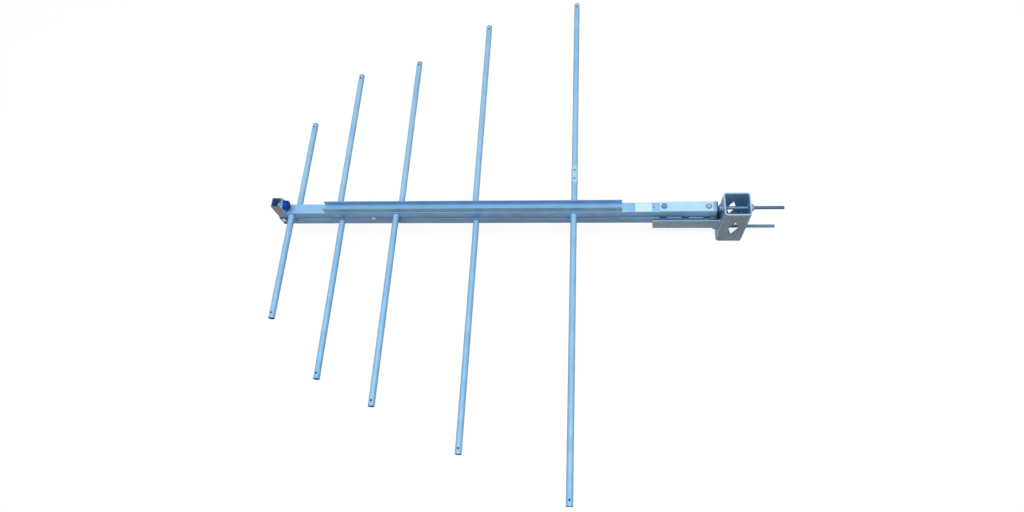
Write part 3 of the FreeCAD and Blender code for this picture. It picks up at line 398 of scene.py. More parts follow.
def drawn_metal(name, colour, way, rough=0.36, metallic=0.22, streak=0.07, film_and_shade=None):
    """Drawn or extruded aluminium: die lines along x or y, faint handling marks, dull patches."""
    def drawn(fine, coarse):
        return paint.where([fine if axis == way else coarse for axis in "xyz"])

    paint = Paint(bpy.data.materials.new(name))
    lines = paint.noise(drawn(3, 900), 1.0, 4.0, 0.6)
    bands = paint.noise(drawn(1.5, 160), 1.0, 2.0)
    patches = paint.blotch(26.0, 5.0, 0.38, 0.64)
    specks = paint.blotch(620.0, 2.0, 0.66, 0.74)
    mask = paint.clamp((lines - 0.5) * (streak * 6) + (bands - 0.5) * (streak * 5) + 0.5)
    tone = paint.blend(mask, shade(colour, 1 - streak * 1.4), shade(colour, 1 + streak))
    dull = shade((colour[0] * 0.86, colour[1] * 0.93, colour[2] * 0.99), 0.9)
    tone = paint.blend(patches * 0.55, tone, dull)
    tone = paint.blend(specks * 0.25, tone, shade(colour, 0.6))
    if film_and_shade:
        tone = film_and_shade(paint, tone)
    return paint.surface({
        "Base Color": tone,
        "Metallic": metallic - patches * 0.08,
        "Roughness": rough + (lines - 0.5) * 0.14 + patches * 0.07,
        "Normal": paint.bump(lines * 0.7 + bands * 0.5 + patches * 0.2, 0.06 * MM, 0.7),
        "Specular IOR Level": 0.35,
    })


def sheet_metal(name, colour, film_and_shade):
    """Bright rolled aluminium plate with a fine roll grain and small scuffs."""
    paint = Paint(bpy.data.materials.new(name))
    grain = paint.noise(paint.where((30, 700, 700)), 1.0, 4.0)
    scuffs = paint.spread(paint.noise(paint.where((60, 420, 60), turn=(0, 0, 0.6)), 1.0, 3.0), 0.62, 0.70)
    clouds = paint.noise(paint.where(), 34.0, 4.0)
    tone = paint.cloudy(clouds, colour, 0.93, 1.03)
    tone = film_and_shade(paint, paint.blend(scuffs * 0.4, tone, shade(colour, 0.78)))
    return paint.surface({
        "Base Color": tone,
        "Metallic": 0.22,
        "Roughness": 0.32 + grain * 0.12 + scuffs * 0.15,
        "Normal": paint.bump(grain + scuffs * 0.6, 0.05 * MM, 0.6),
        "Specular IOR Level": 0.4,
    })


def inner_faces(paint, at, half, wall):
    """1 on the inside faces of a square tube that stands along Z, 0 on its outside."""
    mask = 1.0
    for axis in (0, 1):
        out = paint.maths("ABSOLUTE", paint.part_of(at, axis))
        mask = mask * paint.spread(out, half[axis] - wall * 0.5, half[axis] - wall * 0.8)
    return mask


def zinc_coat(name, colour, rim, node, rim_highlight_band, wall=0.0):
    """Hot-dip zinc: spangle cells, matt runs, slight staining, and a painted highlight on the cut edges at
    the ends.

    The painted highlight reaches a little below the cut. With a wall, the inside of the box is bluer from
    painted light and darker downwards from painted shade, and the front, under the booms, is paler from
    painted light.
    """
    paint = Paint(bpy.data.materials.new(name))
    low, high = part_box(node)
    half = (high - low) / 2
    at = paint.where(centre=middle(node))
    level = paint.part_of(at, 2)
    cut = paint.spread(paint.away(2, middle(node).z), half.z - rim_highlight_band, half.z - 0.2 * MM)
    wobble = paint.noise(at, 90.0, 3.0)
    cells = paint.node("ShaderNodeTexVoronoi", {"feature": "SMOOTH_F1"},
                       {"Vector": at, "Scale": 150.0, "Smoothness": 0.35, "Randomness": 1.0}, "Color")
    cell = paint.node("ShaderNodeSeparateColor", {}, {"Color": cells}, 0)
    runs = paint.noise(paint.where((28, 28, 7), middle(node)), 1.0, 4.0)
    stain = paint.spread(paint.noise(at, 19.0, 6.0, 0.65), 0.50, 0.70)
    fine = paint.noise(at, 1400.0, 2.0)
    mask = paint.clamp(cell * 0.45 + wobble * 0.35 + runs * 0.35)
    tone = paint.blend(mask, shade(colour, 0.84), shade(colour, 1.08))
    tone = paint.blend(stain * 0.5, tone, (colour[0] * 0.80, colour[1] * 0.76, colour[2] * 0.70))
    # Painted light and shade of the box: bluish painted light inside, painted shade deeper down inside,
    # painted light on the front wall
    if wall:
        hollow = (1 - cut) * inner_faces(paint, at, half, wall)
        deep_shade = paint.spread(level, half.z, half.z - 45 * MM)
        tone = paint.tint(hollow, tone, (1.0, 1.25, 1.5))
        tone = paint.tint(hollow * deep_shade, tone, (0.55, 0.75, 0.85))
        tone = paint.tint(paint.ramp(0, low.x + 4 * MM, low.x + 0.5 * MM), tone, (1.5, 1.6, 1.7))
    # The rim colour blended over the cut ends is a painted highlight
    return paint.surface({
        "Base Color": paint.blend(cut * 0.9, tone, rim),
        "Metallic": 0.14 + cell * 0.12,
        "Roughness": 0.44 + (1 - cell) * 0.14 + stain * 0.1,
        "Normal": paint.bump(cell * 0.35 + wobble * 0.7 + fine * 0.25, 0.12 * MM, 0.7),
        "Specular IOR Level": 0.4,
    })


def plated_steel(name, colour, metallic=0.6, film_and_shade=None):
    """Zinc-plated steel: small tonal changes, a touch of dull haze in patches."""
    paint = Paint(bpy.data.materials.new(name))
    clouds = paint.noise(paint.where(), 180.0, 4.0)
    haze = paint.blotch(60.0, 5.0, 0.45, 0.7)
    tone = paint.cloudy(clouds, colour, 0.85, 1.12)
    tone = paint.blend(haze * 0.4, tone, (colour[0] * 0.82, colour[1] * 0.74, colour[2] * 0.68))
    if film_and_shade:
        tone = film_and_shade(paint, tone)
    return paint.surface({
        "Base Color": tone,
        "Metallic": metallic,
        "Roughness": 0.3 + clouds * 0.16 + haze * 0.12,
        "Normal": paint.bump(clouds, 0.04 * MM, 0.6),
    })


def moulded(name, colour, rough=0.42, grain=900.0, depth=0.05 * MM, bright=1.10, shine=0.45, film_and_shade=None):
    """Moulded plastic with a fine eroded texture and faint flow marks."""
    paint = Paint(bpy.data.materials.new(name))
    fine = paint.noise(paint.where(), grain, 3.0)
    flow = paint.noise(paint.where((60, 60, 25)), 1.0, 4.0)
    tone = paint.cloudy(flow, colour, 0.88, bright)
    if film_and_shade:
        tone = film_and_shade(paint, tone)
    return paint.surface({
        "Base Color": tone,
        "Roughness": rough + (fine - 0.5) * 0.16 + (flow - 0.5) * 0.1,
        "Normal": paint.bump(fine + flow * 0.3, depth, 0.8),
        "Specular IOR Level": shine,
    })


def weathered_box(name, node, cool, tan, inside, wall):
    """Nose box metal: cool grey below, tan near the rim, blotchy in between, bare inside."""
    paint = Paint(bpy.data.materials.new(name))
    low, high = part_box(node)
    half = (high - low) / 2
    at = paint.where(centre=middle(node))
    level = paint.part_of(at, 2)
    cut = paint.spread(level, half.z - 0.6 * MM, half.z - 0.2 * MM)
    patches = paint.noise(at, 85.0, 4.0)
    mask = paint.spread(level / half.z + (patches - 0.5) * 0.9, -0.45, 0.25)
    lines = paint.noise(paint.where((500, 500, 6)), 1.0, 3.0)
    tone = paint.blend(mask, cool, tan)
    tone = paint.blend(paint.spread(lines, 0.35, 0.7) * 0.35, tone, shade(cool, 0.62))
    tone = paint.blend(inner_faces(paint, at, half, wall) * 0.9, tone, inside)
    return paint.surface({
        "Base Color": paint.blend(cut * 0.9, tone, shade(cool, 0.5)),
        "Metallic": 0.35,
        "Roughness": 0.36 + patches * 0.22,
        "Normal": paint.bump(patches + lines * 0.5, 0.08 * MM, 0.7),
    })


def paper(name, colour):
    """Bare coated label stock with a faint fibre and slightly greyed patches."""
    paint = Paint(bpy.data.materials.new(name))
    fibre = paint.noise(paint.where((900, 700, 900)), 1.0, 4.0)
    cloud = paint.noise(paint.where(), 70.0, 3.0)
    return paint.surface({
        "Base Color": paint.blend(paint.spread(cloud, 0.35, 0.75), shade(colour, 1.0), shade(colour, 0.93)),
        "Roughness": 0.42 + fibre * 0.12,
        "Normal": paint.bump(fibre, 0.03 * MM, 0.5),
    })


FINISHES = {}      # materials of the pieces that are made here


def wear(material, *nodes):
    """Give a material to CAD nodes."""
    for node in nodes:
        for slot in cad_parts[node].material_slots:
            slot.material = material
    return material


class AntennaFinishes(bpy.types.Operator):
    """Make the finishes and give them to the CAD nodes"""

    bl_idname = "antenna.finishes"
    bl_label = "Finishes"

    def execute(self, context):
        tone = context.scene.antenna_colours
        # Upper boom: side walls darker than the top, darker downwards, in the channel and at the rear end,
        # all painted shade
        wear(drawn_metal("upper_boom_aluminium", tone.boom, "x", film_and_shade=wall_painted_shade(
            "upper_boom", (0.84, 0.81, 0.83), (0.63, 0.77, 0.92), (0.58, 0.66, 0.76),
            (0.68, 0.85, 0.88), (0.45, 0.65, 0.72))), "upper_boom")
        # Lower boom: painted shade on the side walls, a warm painted floor reflection downwards, painted
        # shade in the channel and at the rear end
        wear(drawn_metal("lower_boom_aluminium", tone.boom, "x", film_and_shade=wall_painted_shade(
            "lower_boom", (0.60, 0.60, 0.66), (1.12, 0.97, 0.87), (0.20, 0.52, 0.76),
            (0.33, 0.54, 0.62), (1.0, 1.0, 1.0))), "lower_boom")
        for word in WORDS:
            # The dipole tubes get painted shade in their bores and drain holes
            wear(drawn_metal("dipole_%s_aluminium" % word, tone.dipole, "y", 0.46, 0.12,
                             film_and_shade=tip_shade_and_marks(word)), "dipole_%s_near" % word, "dipole_%s_far" % word)
        wear(drawn_metal("slug_aluminium", shade(tone.dipole, 0.8), "y", 0.42),
             "root_slugs", "bolt_sleeves", "front_spacer")
        # The tray's far wall gets painted light on its inside
        wear(drawn_metal("tray_aluminium", tone.tray, "x", 0.4, 0.2, 0.08, tray_inner_light),
             "cable_tray", "tray_rivets")
        # The clamp plate's rear end gets painted shade
        wear(sheet_metal("plate_aluminium", tone.plate, plate_end_shade), "splice_sleeve", "clamp_plate")
        # The edge colours give painted highlights on the cut ends; the box also gets painted light and shade
        # inside and on its front
        wear(zinc_coat("galvanised_box", tone.mast_box, tone.box_edge_highlight, "mast_box", 5 * MM, 4 * MM),
             "mast_box")
        wear(zinc_coat("galvanised_channel", tone.channel, tone.channel_edge_highlight, "boom_channel", 0.6 * MM),
             "boom_channel")
        FINISHES["weld"] = wear(
            plated_steel("weld_steel", shade(tone.channel, 0.72), 0.4), "bracket_welds")
        FINISHES["thread"] = wear(
            plated_steel("threaded_steel", tone.thread), "stud_nuts", "stud_washers", "boom_bolts",
            "boom_bolt_nuts", "boom_bolt_washers")
        FINISHES["upper_rod"] = wear(
            plated_steel("upper_rod_steel", tone.thread, film_and_shade=rod_film), "upper_stud")
        FINISHES["low_rod"] = wear(plated_steel("dull_threaded_steel", tone.low_rod), "lower_stud")
        FINISHES["stainless"] = wear(
            plated_steel("stainless_steel", tone.stainless, 0.5), "splice_screws", "cover_screw",
            "flange_screws", "feed_bolt")
        FINISHES["bright"] = wear(plated_steel("bright_screw_steel", tone.bright, 0.3), "spacer_screw")
        FINISHES["dome"] = plated_steel("dome_bolt_steel", tone.dome, 0.3)
        FINISHES["dull"] = wear(
            plated_steel("dull_screw_steel", shade(tone.boom, 0.62), 0.3), "root_screws")
        wear(plated_steel("plated_brass", tone.flange, 0.45), "socket_body")
        wear(plated_steel("gilt_contact", tone.contact, 0.8), "socket_pin")
        wear(moulded("dark_plastic", tone.end_plate, shine=0.3), "rear_end_plate", "tip_plugs")
        wear(moulded("spacer_plastic", tone.spacer, 0.6, shine=0.1), "rear_spacers")
        wear(moulded("insulating_block", tone.block, 0.5, 700.0, 0.08 * MM), "nose_block")
        wear(moulded("white_insulator", tone.bead, 0.35), "socket_bead")
        # The cap gets painted shade, darker towards the bottom
        FINISHES["cap"] = wear(
            moulded("blue_cap", tone.cap, 0.45, 500.0, 0.03 * MM, 1.25, 0.12, cap_shade), "dust_cap")
        wear(paper("bare_label", tone.label), "bare_label")
        wear(weathered_box("nose_metal", "nose_box", tone.nose, tone.nose_tan, tone.nose_inside,
                           2.5 * MM), "nose_box")
        return {"FINISHED"}


# ---- modelling helpers


TO_X = Matrix.Rotation(math.pi / 2, 4, "Y")      # a piece made along +Z then points along +X
TO_NEAR = Matrix.Rotation(math.pi / 2, 4, "X")   # +Z then points along -Y
TO_FAR = Matrix.Rotation(-math.pi / 2, 4, "X")   # +Z then points along +Y


def spin(degrees, axis="Z"):
    return Matrix.Rotation(math.radians(degrees), 4, axis)


def spot(x, y, z, *turns):
    """Matrix of a place, with turns about it."""
    matrix = Matrix.Translation((x, y, z))
    for turn in turns:
        matrix = matrix @ turn
    return matrix


def begin():
    """Object mode with nothing selected."""
    if bpy.context.object is not None and bpy.context.object.mode != "OBJECT":
        leave()
    bpy.ops.object.select_all(action="DESELECT")


def only(piece):
    """Make one piece the selected and active one."""
    begin()
    piece.select_set(True)
    bpy.context.view_layer.objects.active = piece
    return piece


def edit_all():
    """Edit mode with the whole mesh selected."""
    bpy.ops.object.mode_set(mode="EDIT")
    bpy.ops.mesh.select_all(action="SELECT")


def leave():
    """Back to object mode."""
    bpy.ops.object.mode_set(mode="OBJECT")


def pick(piece, kind, test):
    """Go to edit mode and select the faces, edges or vertices that the test accepts."""
    bpy.ops.object.mode_set(mode="EDIT")
    bpy.ops.mesh.select_mode(type={"faces": "FACE", "edges": "EDGE", "verts": "VERT"}[kind])
    bpy.ops.mesh.select_all(action="DESELECT")
    mesh = bmesh.from_edit_mesh(piece.data)
    chosen = [part for part in getattr(mesh, kind) if test(part)]
    if not chosen:
        raise RuntimeError("nothing to select on " + piece.name)
    for part in chosen:
        part.select_set(True)
    mesh.select_flush_mode()
    bmesh.update_edit_mesh(piece.data)


def lowest(edge):
    return min(vertex.co.z for vertex in edge.verts)


def level_edge(edge):
    return abs(edge.verts[0].co.z - edge.verts[1].co.z) < 1e-7


def bevel(offset, segments=1):
    bpy.ops.mesh.bevel(offset=offset, segments=segments, affect="EDGES")


def settle(piece):
    """Put the piece's place, turn and size into its mesh."""
    only(piece)
    bpy.ops.object.transform_apply(location=True, rotation=True, scale=True)
    return piece


def modify(piece, kind, **settings):
    """Give a piece a modifier with these settings."""
    modifier = piece.modifiers.new(kind.lower(), kind)
    for name, value in settings.items():
        setattr(modifier, name, value)


def apply_all(piece):
    only(piece)
    for modifier in list(piece.modifiers):
        bpy.ops.object.modifier_apply(modifier=modifier.name)
    return piece


def discard(piece):
    bpy.data.objects.remove(piece, do_unlink=True)


def carve(piece, tool, operation="DIFFERENCE"):
    """Boolean of the piece with a tool that is then thrown away."""
    modify(piece, "BOOLEAN", operation=operation, solver="EXACT", object=tool)
    apply_all(piece)
    discard(tool)
    return piece


def smooth(angle):
    bpy.ops.object.shade_smooth_by_angle(angle=math.radians(angle))


def soften_edges(piece, width, segments=2, angle=35):
    """Bevel of the sharp edges and smooth shading of the rest."""
    modify(piece, "BEVEL", width=width, segments=segments, limit_method="ANGLE",
           angle_limit=math.radians(angle))
    apply_all(piece)
    smooth(angle)
    return piece


def stamp(master, name, matrix):
    """A copy of the master with its own mesh, moved to its place."""
    copy = master.copy()
    copy.data = master.data.copy()
    copy.name = name
    bpy.context.scene.collection.objects.link(copy)
    copy.matrix_world = matrix
    return settle(copy)


def weld_together(name, parts):
    """Join pieces into one object."""
    begin()
    for part in parts:
        part.select_set(True)
    bpy.context.view_layer.objects.active = parts[0]
    if len(parts) > 1:
        bpy.ops.object.join()
    parts[0].name = name
    parts[0].data.name = name
    return parts[0]


def finish_piece(piece, finish, slot, *nodes):
    """Give a piece its finish and let it stand for CAD nodes."""
    piece.data.materials.clear()
    piece.data.materials.append(FINISHES[finish])
    for face in piece.data.polygons:
        face.material_index = 0
    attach(piece, "root")
    if nodes:
        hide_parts(*nodes)


def repeat(master, places, name, finish, slot, node):
    """Copy the master to each place, join the copies and let them stand for a CAD node."""
    parts = [stamp(master, "%s_%d" % (name, index), place) for index, place in enumerate(places)]
    finish_piece(weld_together(name, parts), finish, slot, node)
    discard(master)


def primitive(kind, name, location=(0, 0, 0), **settings):
    """Add a primitive mesh and name it."""
    begin()
    getattr(bpy.ops.mesh, "primitive_%s_add" % kind)(location=location, **settings)
    piece = bpy.context.object
    piece.name = name
    return piece


def cylinder(name, radius, low, high, sides=48):
    """Round bar along Z between two levels."""
    return settle(primitive("cylinder", name, (0, 0, (low + high) / 2), vertices=sides,
                            radius=radius, depth=high - low))


# ---- threaded rods


def thread_bar(name, radius, length, pitch, depth, chamfer):
    """Threaded bar along +Z from the origin, its helix turned from one pitch of profile."""
    piece = primitive("plane", name, size=0.2 * MM)
    edit_all()
    bpy.ops.mesh.merge(type="CENTER")
    bpy.ops.transform.translate(value=(radius - depth, 0, -2 * pitch))
    for out, along in ((0, 0.14), (depth, 0.32), (0, 0.14), (-depth, 0.40)):
        bpy.ops.mesh.extrude_vertices_move(TRANSFORM_OT_translate={"value": (out, 0, along * pitch)})
    leave()
    modify(piece, "SCREW", axis="Z", angle=math.tau, screw_offset=pitch, steps=16, render_steps=16,
           iterations=int(length / pitch) + 4, use_merge_vertices=True, merge_threshold=pitch * 0.02)
    apply_all(piece)
    edit_all()
    bpy.ops.mesh.remove_doubles(threshold=pitch * 0.02)
    for level, side in ((0, -1), (length, 1)):
        bpy.ops.mesh.select_all(action="SELECT")
        bpy.ops.mesh.bisect(plane_co=(0, 0, level), plane_no=(0, 0, side), use_fill=True,
                            clear_outer=True)
    bpy.ops.mesh.select_all(action="SELECT")
    bpy.ops.mesh.normals_make_consistent(inside=False)
    leave()
    trim = cylinder("rod_trim", radius + 0.05 * MM, 0.0, length)
    pick(trim, "edges", level_edge)
    bevel(chamfer)
    leave()
    carve(piece, trim, "INTERSECT")
    smooth(28)
    return piece


class AntennaRods(bpy.types.Operator):
    """Turn the two threaded rods of the mast clamp"""

    bl_idname = "antenna.rods"
    bl_label = "Threaded rods"

    def execute(self, context):
        size = context.scene.antenna_fasteners
        low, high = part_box("upper_stud")
        rod = thread_bar("rod", (high.z - low.z) / 2, high.x - low.x, size.pitch, size.thread_depth,
                         size.rod_end)
        for node, finish in (("upper_stud", "upper_rod"), ("lower_stud", "low_rod")):
            axis = middle(node)
            piece = stamp(rod, node + "_threaded", spot(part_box(node)[0].x, axis.y, axis.z, TO_X))
            finish_piece(piece, finish, "threaded_steel", node)
        discard(rod)
        return {"FINISHED"}


# ---- nuts, washers, bolts


def hexagon(name, corner, tall, chamfer, both=True):
    """Hexagon along +Z from the origin, corners chamfered as a nut's or bolt head's are."""
    piece = settle(primitive("cylinder", name, (0, 0, tall / 2), vertices=6, radius=corner,
                             depth=tall, rotation=(0, 0, math.pi / 6)))
    tool = cylinder("corner_trim", corner * 1.02, 0.0, tall, 64)
    pick(tool, "edges", lambda edge: level_edge(edge) and (both or lowest(edge) > tall / 2))
    bevel(chamfer * 1.5)
    leave()
    return carve(piece, tool, "INTERSECT")


def nut(name, corner, tall, chamfer, bore):
    """Hexagon nut with a countersunk bore."""
    piece = hexagon(name, corner, tall, chamfer)
    carve(piece, cylinder("bore_tool", bore, -1 * MM, tall + 1 * MM, 40))
    for level in (0.0, tall):
        sink = primitive("cone", "sink", (0, 0, level), vertices=40, radius1=bore + 0.6 * MM,
                         radius2=bore - 0.6 * MM, depth=1.2 * MM)
        sink.rotation_euler.x = math.pi if level else 0.0
        carve(piece, settle(sink))
    return soften_edges(piece, 0.12 * MM, 1)


def washer(name, radius, bore, thick, edge):
    """Flat washer along +Z from the origin: a ring drawn out of a circle."""
    piece = primitive("circle", name, vertices=56, radius=bore)
    edit_all()
    bpy.ops.mesh.extrude_edges_move()
    bpy.ops.transform.resize(value=(radius / bore, radius / bore, 1))
    bpy.ops.mesh.select_all(action="SELECT")
    bpy.ops.mesh.extrude_region_move(TRANSFORM_OT_translate={"value": (0, 0, thick)})
    bpy.ops.mesh.select_all(action="SELECT")
    bpy.ops.mesh.normals_make_consistent(inside=False)
    leave()
    return soften_edges(settle(piece), edge, 2)


class AntennaNuts(bpy.types.Operator):
    """Make the nuts and washers of the two threaded rods"""

    bl_idname = "antenna.nuts"
    bl_label = "Rod nuts and washers"

    def execute(self, context):
        size = context.scene.antenna_fasteners
        low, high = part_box("stud_nuts")
        ring_low, ring_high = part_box("stud_washers")
        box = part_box("mast_box")[1].x
        upper = middle("upper_stud").z
        rod_low, rod_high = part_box("upper_stud")
        radius = (rod_high.z - rod_low.z) / 2
        turns = iter((8, -14, 21, 4))
        nuts = []
        rings = []
        for word in ("upper", "lower"):
            axis = middle(word + "_stud")
            nuts += [spot(at, axis.y, axis.z, spin(next(turns), "X"), TO_X) for at in (low.x, ring_high.x)]
            rings += [spot(at, axis.y, axis.z, TO_X) for at in (ring_low.x, box)]
        repeat(nut("nut_master", high.z - upper, high.x - ring_high.x, size.nut_chamfer,
                   radius + 0.03 * MM),
               nuts, "rod_nuts", "thread", "threaded_steel", "stud_nuts")
        repeat(washer("washer_master", ring_high.z - upper, radius + 0.2 * MM, ring_high.x - box,
                      size.washer_edge),
               rings, "rod_washers", "stainless", "threaded_steel", "stud_washers")
        return {"FINISHED"}


class AntennaBolts(bpy.types.Operator):
    """Make the two bolts that hold the booms to the channel, with nuts and washers"""

    bl_idname = "antenna.bolts"
    bl_label = "Boom bolts"

    def execute(self, context):
        size = context.scene.antenna_fasteners
        low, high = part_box("boom_bolts")
        nut_low, nut_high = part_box("boom_bolt_nuts")
        ring_low, ring_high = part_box("boom_bolt_washers")
        sleeve_low, sleeve_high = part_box("bolt_sleeves")
        sleeve = (sleeve_high.y - sleeve_low.y) / 2
        places = (sleeve_low.x + sleeve, sleeve_high.x - sleeve)
        seat = ring_high.z
        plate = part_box("clamp_plate")[1].z
        flats = nut_high.y - nut_low.y
        corner = flats / math.sqrt(3)
        tall = high.z - seat
        fine_edge = 0.15 * MM
        head = hexagon("bolt_head", corner, tall, size.nut_chamfer, both=False)
        soften_edges(head, fine_edge, 1)
        dome_tall = tall - 0.9 * MM
        dome_round = 2.9 * MM
        key = 2.6 * MM
        key_floor = 2.2 * MM
        dome = cylinder("dome_head", flats / 2, 0.0, dome_tall)
        pick(dome, "edges", lambda edge: lowest(edge) > dome_tall / 2)
        bevel(dome_round, 7)
        leave()
        carve(dome, cylinder("socket_tool", key, key_floor, dome_tall * 2, 6))
        soften_edges(dome, fine_edge, 1, 40)
        shank = thread_bar("bolt_shank", size.bolt_radius, seat - low.z + 1 * MM, size.bolt_pitch,
                           size.bolt_pitch / 2, size.rod_end)
        parts = [stamp(shank, "shank", spot(at, 0, low.z)) for at in places]
        parts.append(stamp(head, "hex_top", spot(places[0], 0, seat, spin(17))))
        finish_piece(weld_together("boom_bolt_set", parts), "thread", "threaded_steel", "boom_bolts")
        finish_piece(stamp(dome, "dome_bolt_head", spot(places[1], 0, seat)), "dome", "stainless")
        for master in (head, dome, shank):
            discard(master)
        repeat(nut("nut_master", corner, nut_high.z - nut_low.z, size.nut_chamfer,
                   size.bolt_radius + 0.03 * MM),
               [spot(at, 0, nut_low.z, spin(turn)) for at, turn in zip(places, (5, 26))],
               "boom_nut_set", "thread", "threaded_steel", "boom_bolt_nuts")
        repeat(washer("ring_master", (ring_high.y - ring_low.y) / 2, size.bolt_radius + 0.2 * MM,
                      seat - plate, size.washer_edge),
               [spot(at, 0, level) for at in places for level in (plate, nut_high.z)],
               "boom_washer_set", "thread", "threaded_steel", "boom_bolt_washers")
        return {"FINISHED"}


# ---- small screws


def pan_screw(name, radius, tall, shank, reach, recess):
    """Pan head on z >= 0 with a cross recess, and its shank below."""
    piece = cylinder(name, radius, 0.0, tall, 40)
    pick(piece, "edges", lambda edge: lowest(edge) > tall * 0.5)
    bevel(tall * 0.62, 6)
    leave()
    for turn in (0, 90):
        tool = primitive("cube", "cross", (0, 0, tall), size=1)
        tool.scale = (radius * 2 * recess, radius * 0.26, tall * 1.2)
        tool.rotation_euler.z = math.radians(turn)
        settle(tool)
        pick(tool, "verts", lambda vertex: vertex.co.z < tall)
        bpy.ops.transform.resize(value=(0.62, 0.62, 1))
        leave()
        carve(piece, tool)
    stem = cylinder("stem", shank, -reach, tall * 0.2, 20)
    return soften_edges(weld_together(name, [piece, stem]), radius * 0.03, 1, 40)


class AntennaScrews(bpy.types.Operator):
    """Make the root screws, spacer screw, splice screws, cover screw and flange screws"""

    bl_idname = "antenna.screws"
    bl_label = "Small screws"

    def execute(self, context):
        recess = context.scene.antenna_fasteners.recess
        boom_low, boom_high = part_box("upper_boom")
        low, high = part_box("spacer_screw")
        tall = boom_low.y - low.y
        radius = (high.z - low.z) / 2
        places = []
        for number, word in enumerate(WORDS):
            near, far = middle("dipole_%s_near" % word), middle("dipole_%s_far" % word)
            turn = 23 + 31 * number
            places.append(spot(near.x, boom_high.y, near.z, TO_FAR, spin(turn)))
            places.append(spot(far.x, boom_low.y, far.z, TO_NEAR, spin(turn + 11)))
        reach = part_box("root_screws")[1].y - boom_low.y
        repeat(pan_screw("root_master", radius, tall, radius / 2, reach, recess), places,
               "root_screw_set", "dull", "stainless", "root_screws")

        axis = middle("spacer_screw")
        repeat(pan_screw("spacer_master", radius, tall, radius / 2, high.y - boom_low.y, recess),
               [spot(axis.x, boom_low.y, axis.z, TO_NEAR, spin(38))],
               "gap_screw", "bright", "stainless", "spacer_screw")

        low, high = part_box("splice_screws")
        half = (high.x - low.x) / 2
        repeat(pan_screw("splice_master", half, high.z - low.z, half * 0.5, 1.5 * MM, recess),
               [spot(low.x + half, low.y + half, low.z, spin(12)),
                spot(low.x + half, high.y - half, low.z, spin(51))],
               "splice_screw_set", "thread", "stainless", "splice_screws")

        low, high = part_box("cover_screw")
        axis = middle("cover_screw")
        repeat(pan_screw("cover_master", (high.y - low.y) / 2 * 0.94, high.z - low.z, MM, 1.5 * MM, 0.6),
               [spot(axis.x, axis.y, low.z)], "cover_pan_screw", "thread", "stainless", "cover_screw")

        low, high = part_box("flange_screws")
        axis = middle("flange_screws")
        flange = low.x + 3.0 * MM
        half = 2.4 * MM
        step_y = (high.y - low.y) / 2 - half
        step_z = (high.z - low.z) / 2 - half
        places = []
        for index, (a, b) in enumerate(((-1, -1), (-1, 1), (1, -1), (1, 1))):
            turn = Matrix.Rotation(0.4 * index, 4, "Z")
            places.append(spot(flange, axis.y + a * step_y, axis.z + b * step_z, TO_X, turn))
        repeat(pan_screw("flange_master", half, high.x - flange, 1.5 * MM, 2.6 * MM, 0.6), places,
               "flange_screw_set", "stainless", "stainless", "flange_screws")
        return {"FINISHED"}


# ---- welds


class AntennaWelds(bpy.types.Operator):
    """Lay the rippled weld beads where the channel meets the mast box"""

    bl_idname = "antenna.welds"
    bl_label = "Weld beads"

    def execute(self, context):
        step = context.scene.antenna_fasteners.weld_ripple
        low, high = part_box("bracket_welds")
        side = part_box("boom_channel")[1].y
        leg = high.x - low.x
        bead = primitive("uv_sphere", "ripple", segments=24, ring_count=14, radius=1)
        bead.scale = (leg * 0.98, leg * 0.98, step * 1.15)
        bead.rotation_euler.x = math.radians(14)
        settle(bead)
        bottom = min(vertex.co.z for vertex in bead.data.vertices)
        run = high.z - low.z + 2 * bottom
        gaps = int(run / step)
        modify(bead, "ARRAY", count=gaps + 1, use_relative_offset=False, use_constant_offset=True,
               constant_offset_displace=(0, 0, run / gaps))
        modify(bead, "REMESH", mode="VOXEL", voxel_size=0.45 * MM)
        modify(bead, "SMOOTH", iterations=2)
        apply_all(bead)
        bpy.ops.object.shade_smooth()
        repeat(bead, [spot(high.x, -side, high.z + bottom, spin(180, "X")),
                      spot(high.x, side, low.z - bottom)],
               "weld_beads", "weld", "galvanised", "bracket_welds")
        return {"FINISHED"}


# ---- dust cap and feed bolt


class AntennaDustCap(bpy.types.Operator):
    """Mould the dust cap on the coaxial socket"""

    bl_idname = "antenna.dust_cap"
    bl_label = "Dust cap"

    def execute(self, context):
        size = context.scene.antenna_cap
        low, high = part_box("dust_cap")
        axis = middle("dust_cap")
        radius = (high.y - low.y) / 2 - 0.4 * MM
        tall = high.x - low.x
        bore = 13.5 * MM
        hollow = 10 * MM
        dish_margin = 4.2 * MM
        rounding = 3.6 * MM
        body = radius - 0.5 * MM
        small = 1 - size.taper / radius
        piece = cylinder("cap", body, 0.0, tall, 56)
        pick(piece, "faces", lambda face: face.normal.z > 0.9)
        bpy.ops.transform.resize(value=(small, small, 1))
        bpy.ops.mesh.inset(thickness=dish_margin, depth=0.0)
        bpy.ops.mesh.inset(thickness=0.5 * MM, depth=-size.dish)
        pick(piece, "edges", lambda edge: lowest(edge) > tall - 0.1 * MM
             and min(vertex.co.xy.length for vertex in edge.verts) > radius - 3 * MM)
        bevel(rounding, 7)
        pick(piece, "faces", lambda face: face.normal.z < -0.9)
        bpy.ops.mesh.inset(thickness=body - bore, depth=0.0)
        bpy.ops.mesh.extrude_region_move(TRANSFORM_OT_translate={"value": (0, 0, hollow)})
        leave()
        rim = washer("rim", radius, radius - 1.0 * MM, size.rim, 0.5 * MM)
        piece = soften_edges(weld_together("cap", [piece, rim]), 0.25 * MM, 2)
        repeat(piece, [spot(low.x, axis.y, axis.z, TO_X)], "socket_dust_cap", "cap", "blue_plastic",
               "dust_cap")
        return {"FINISHED"}


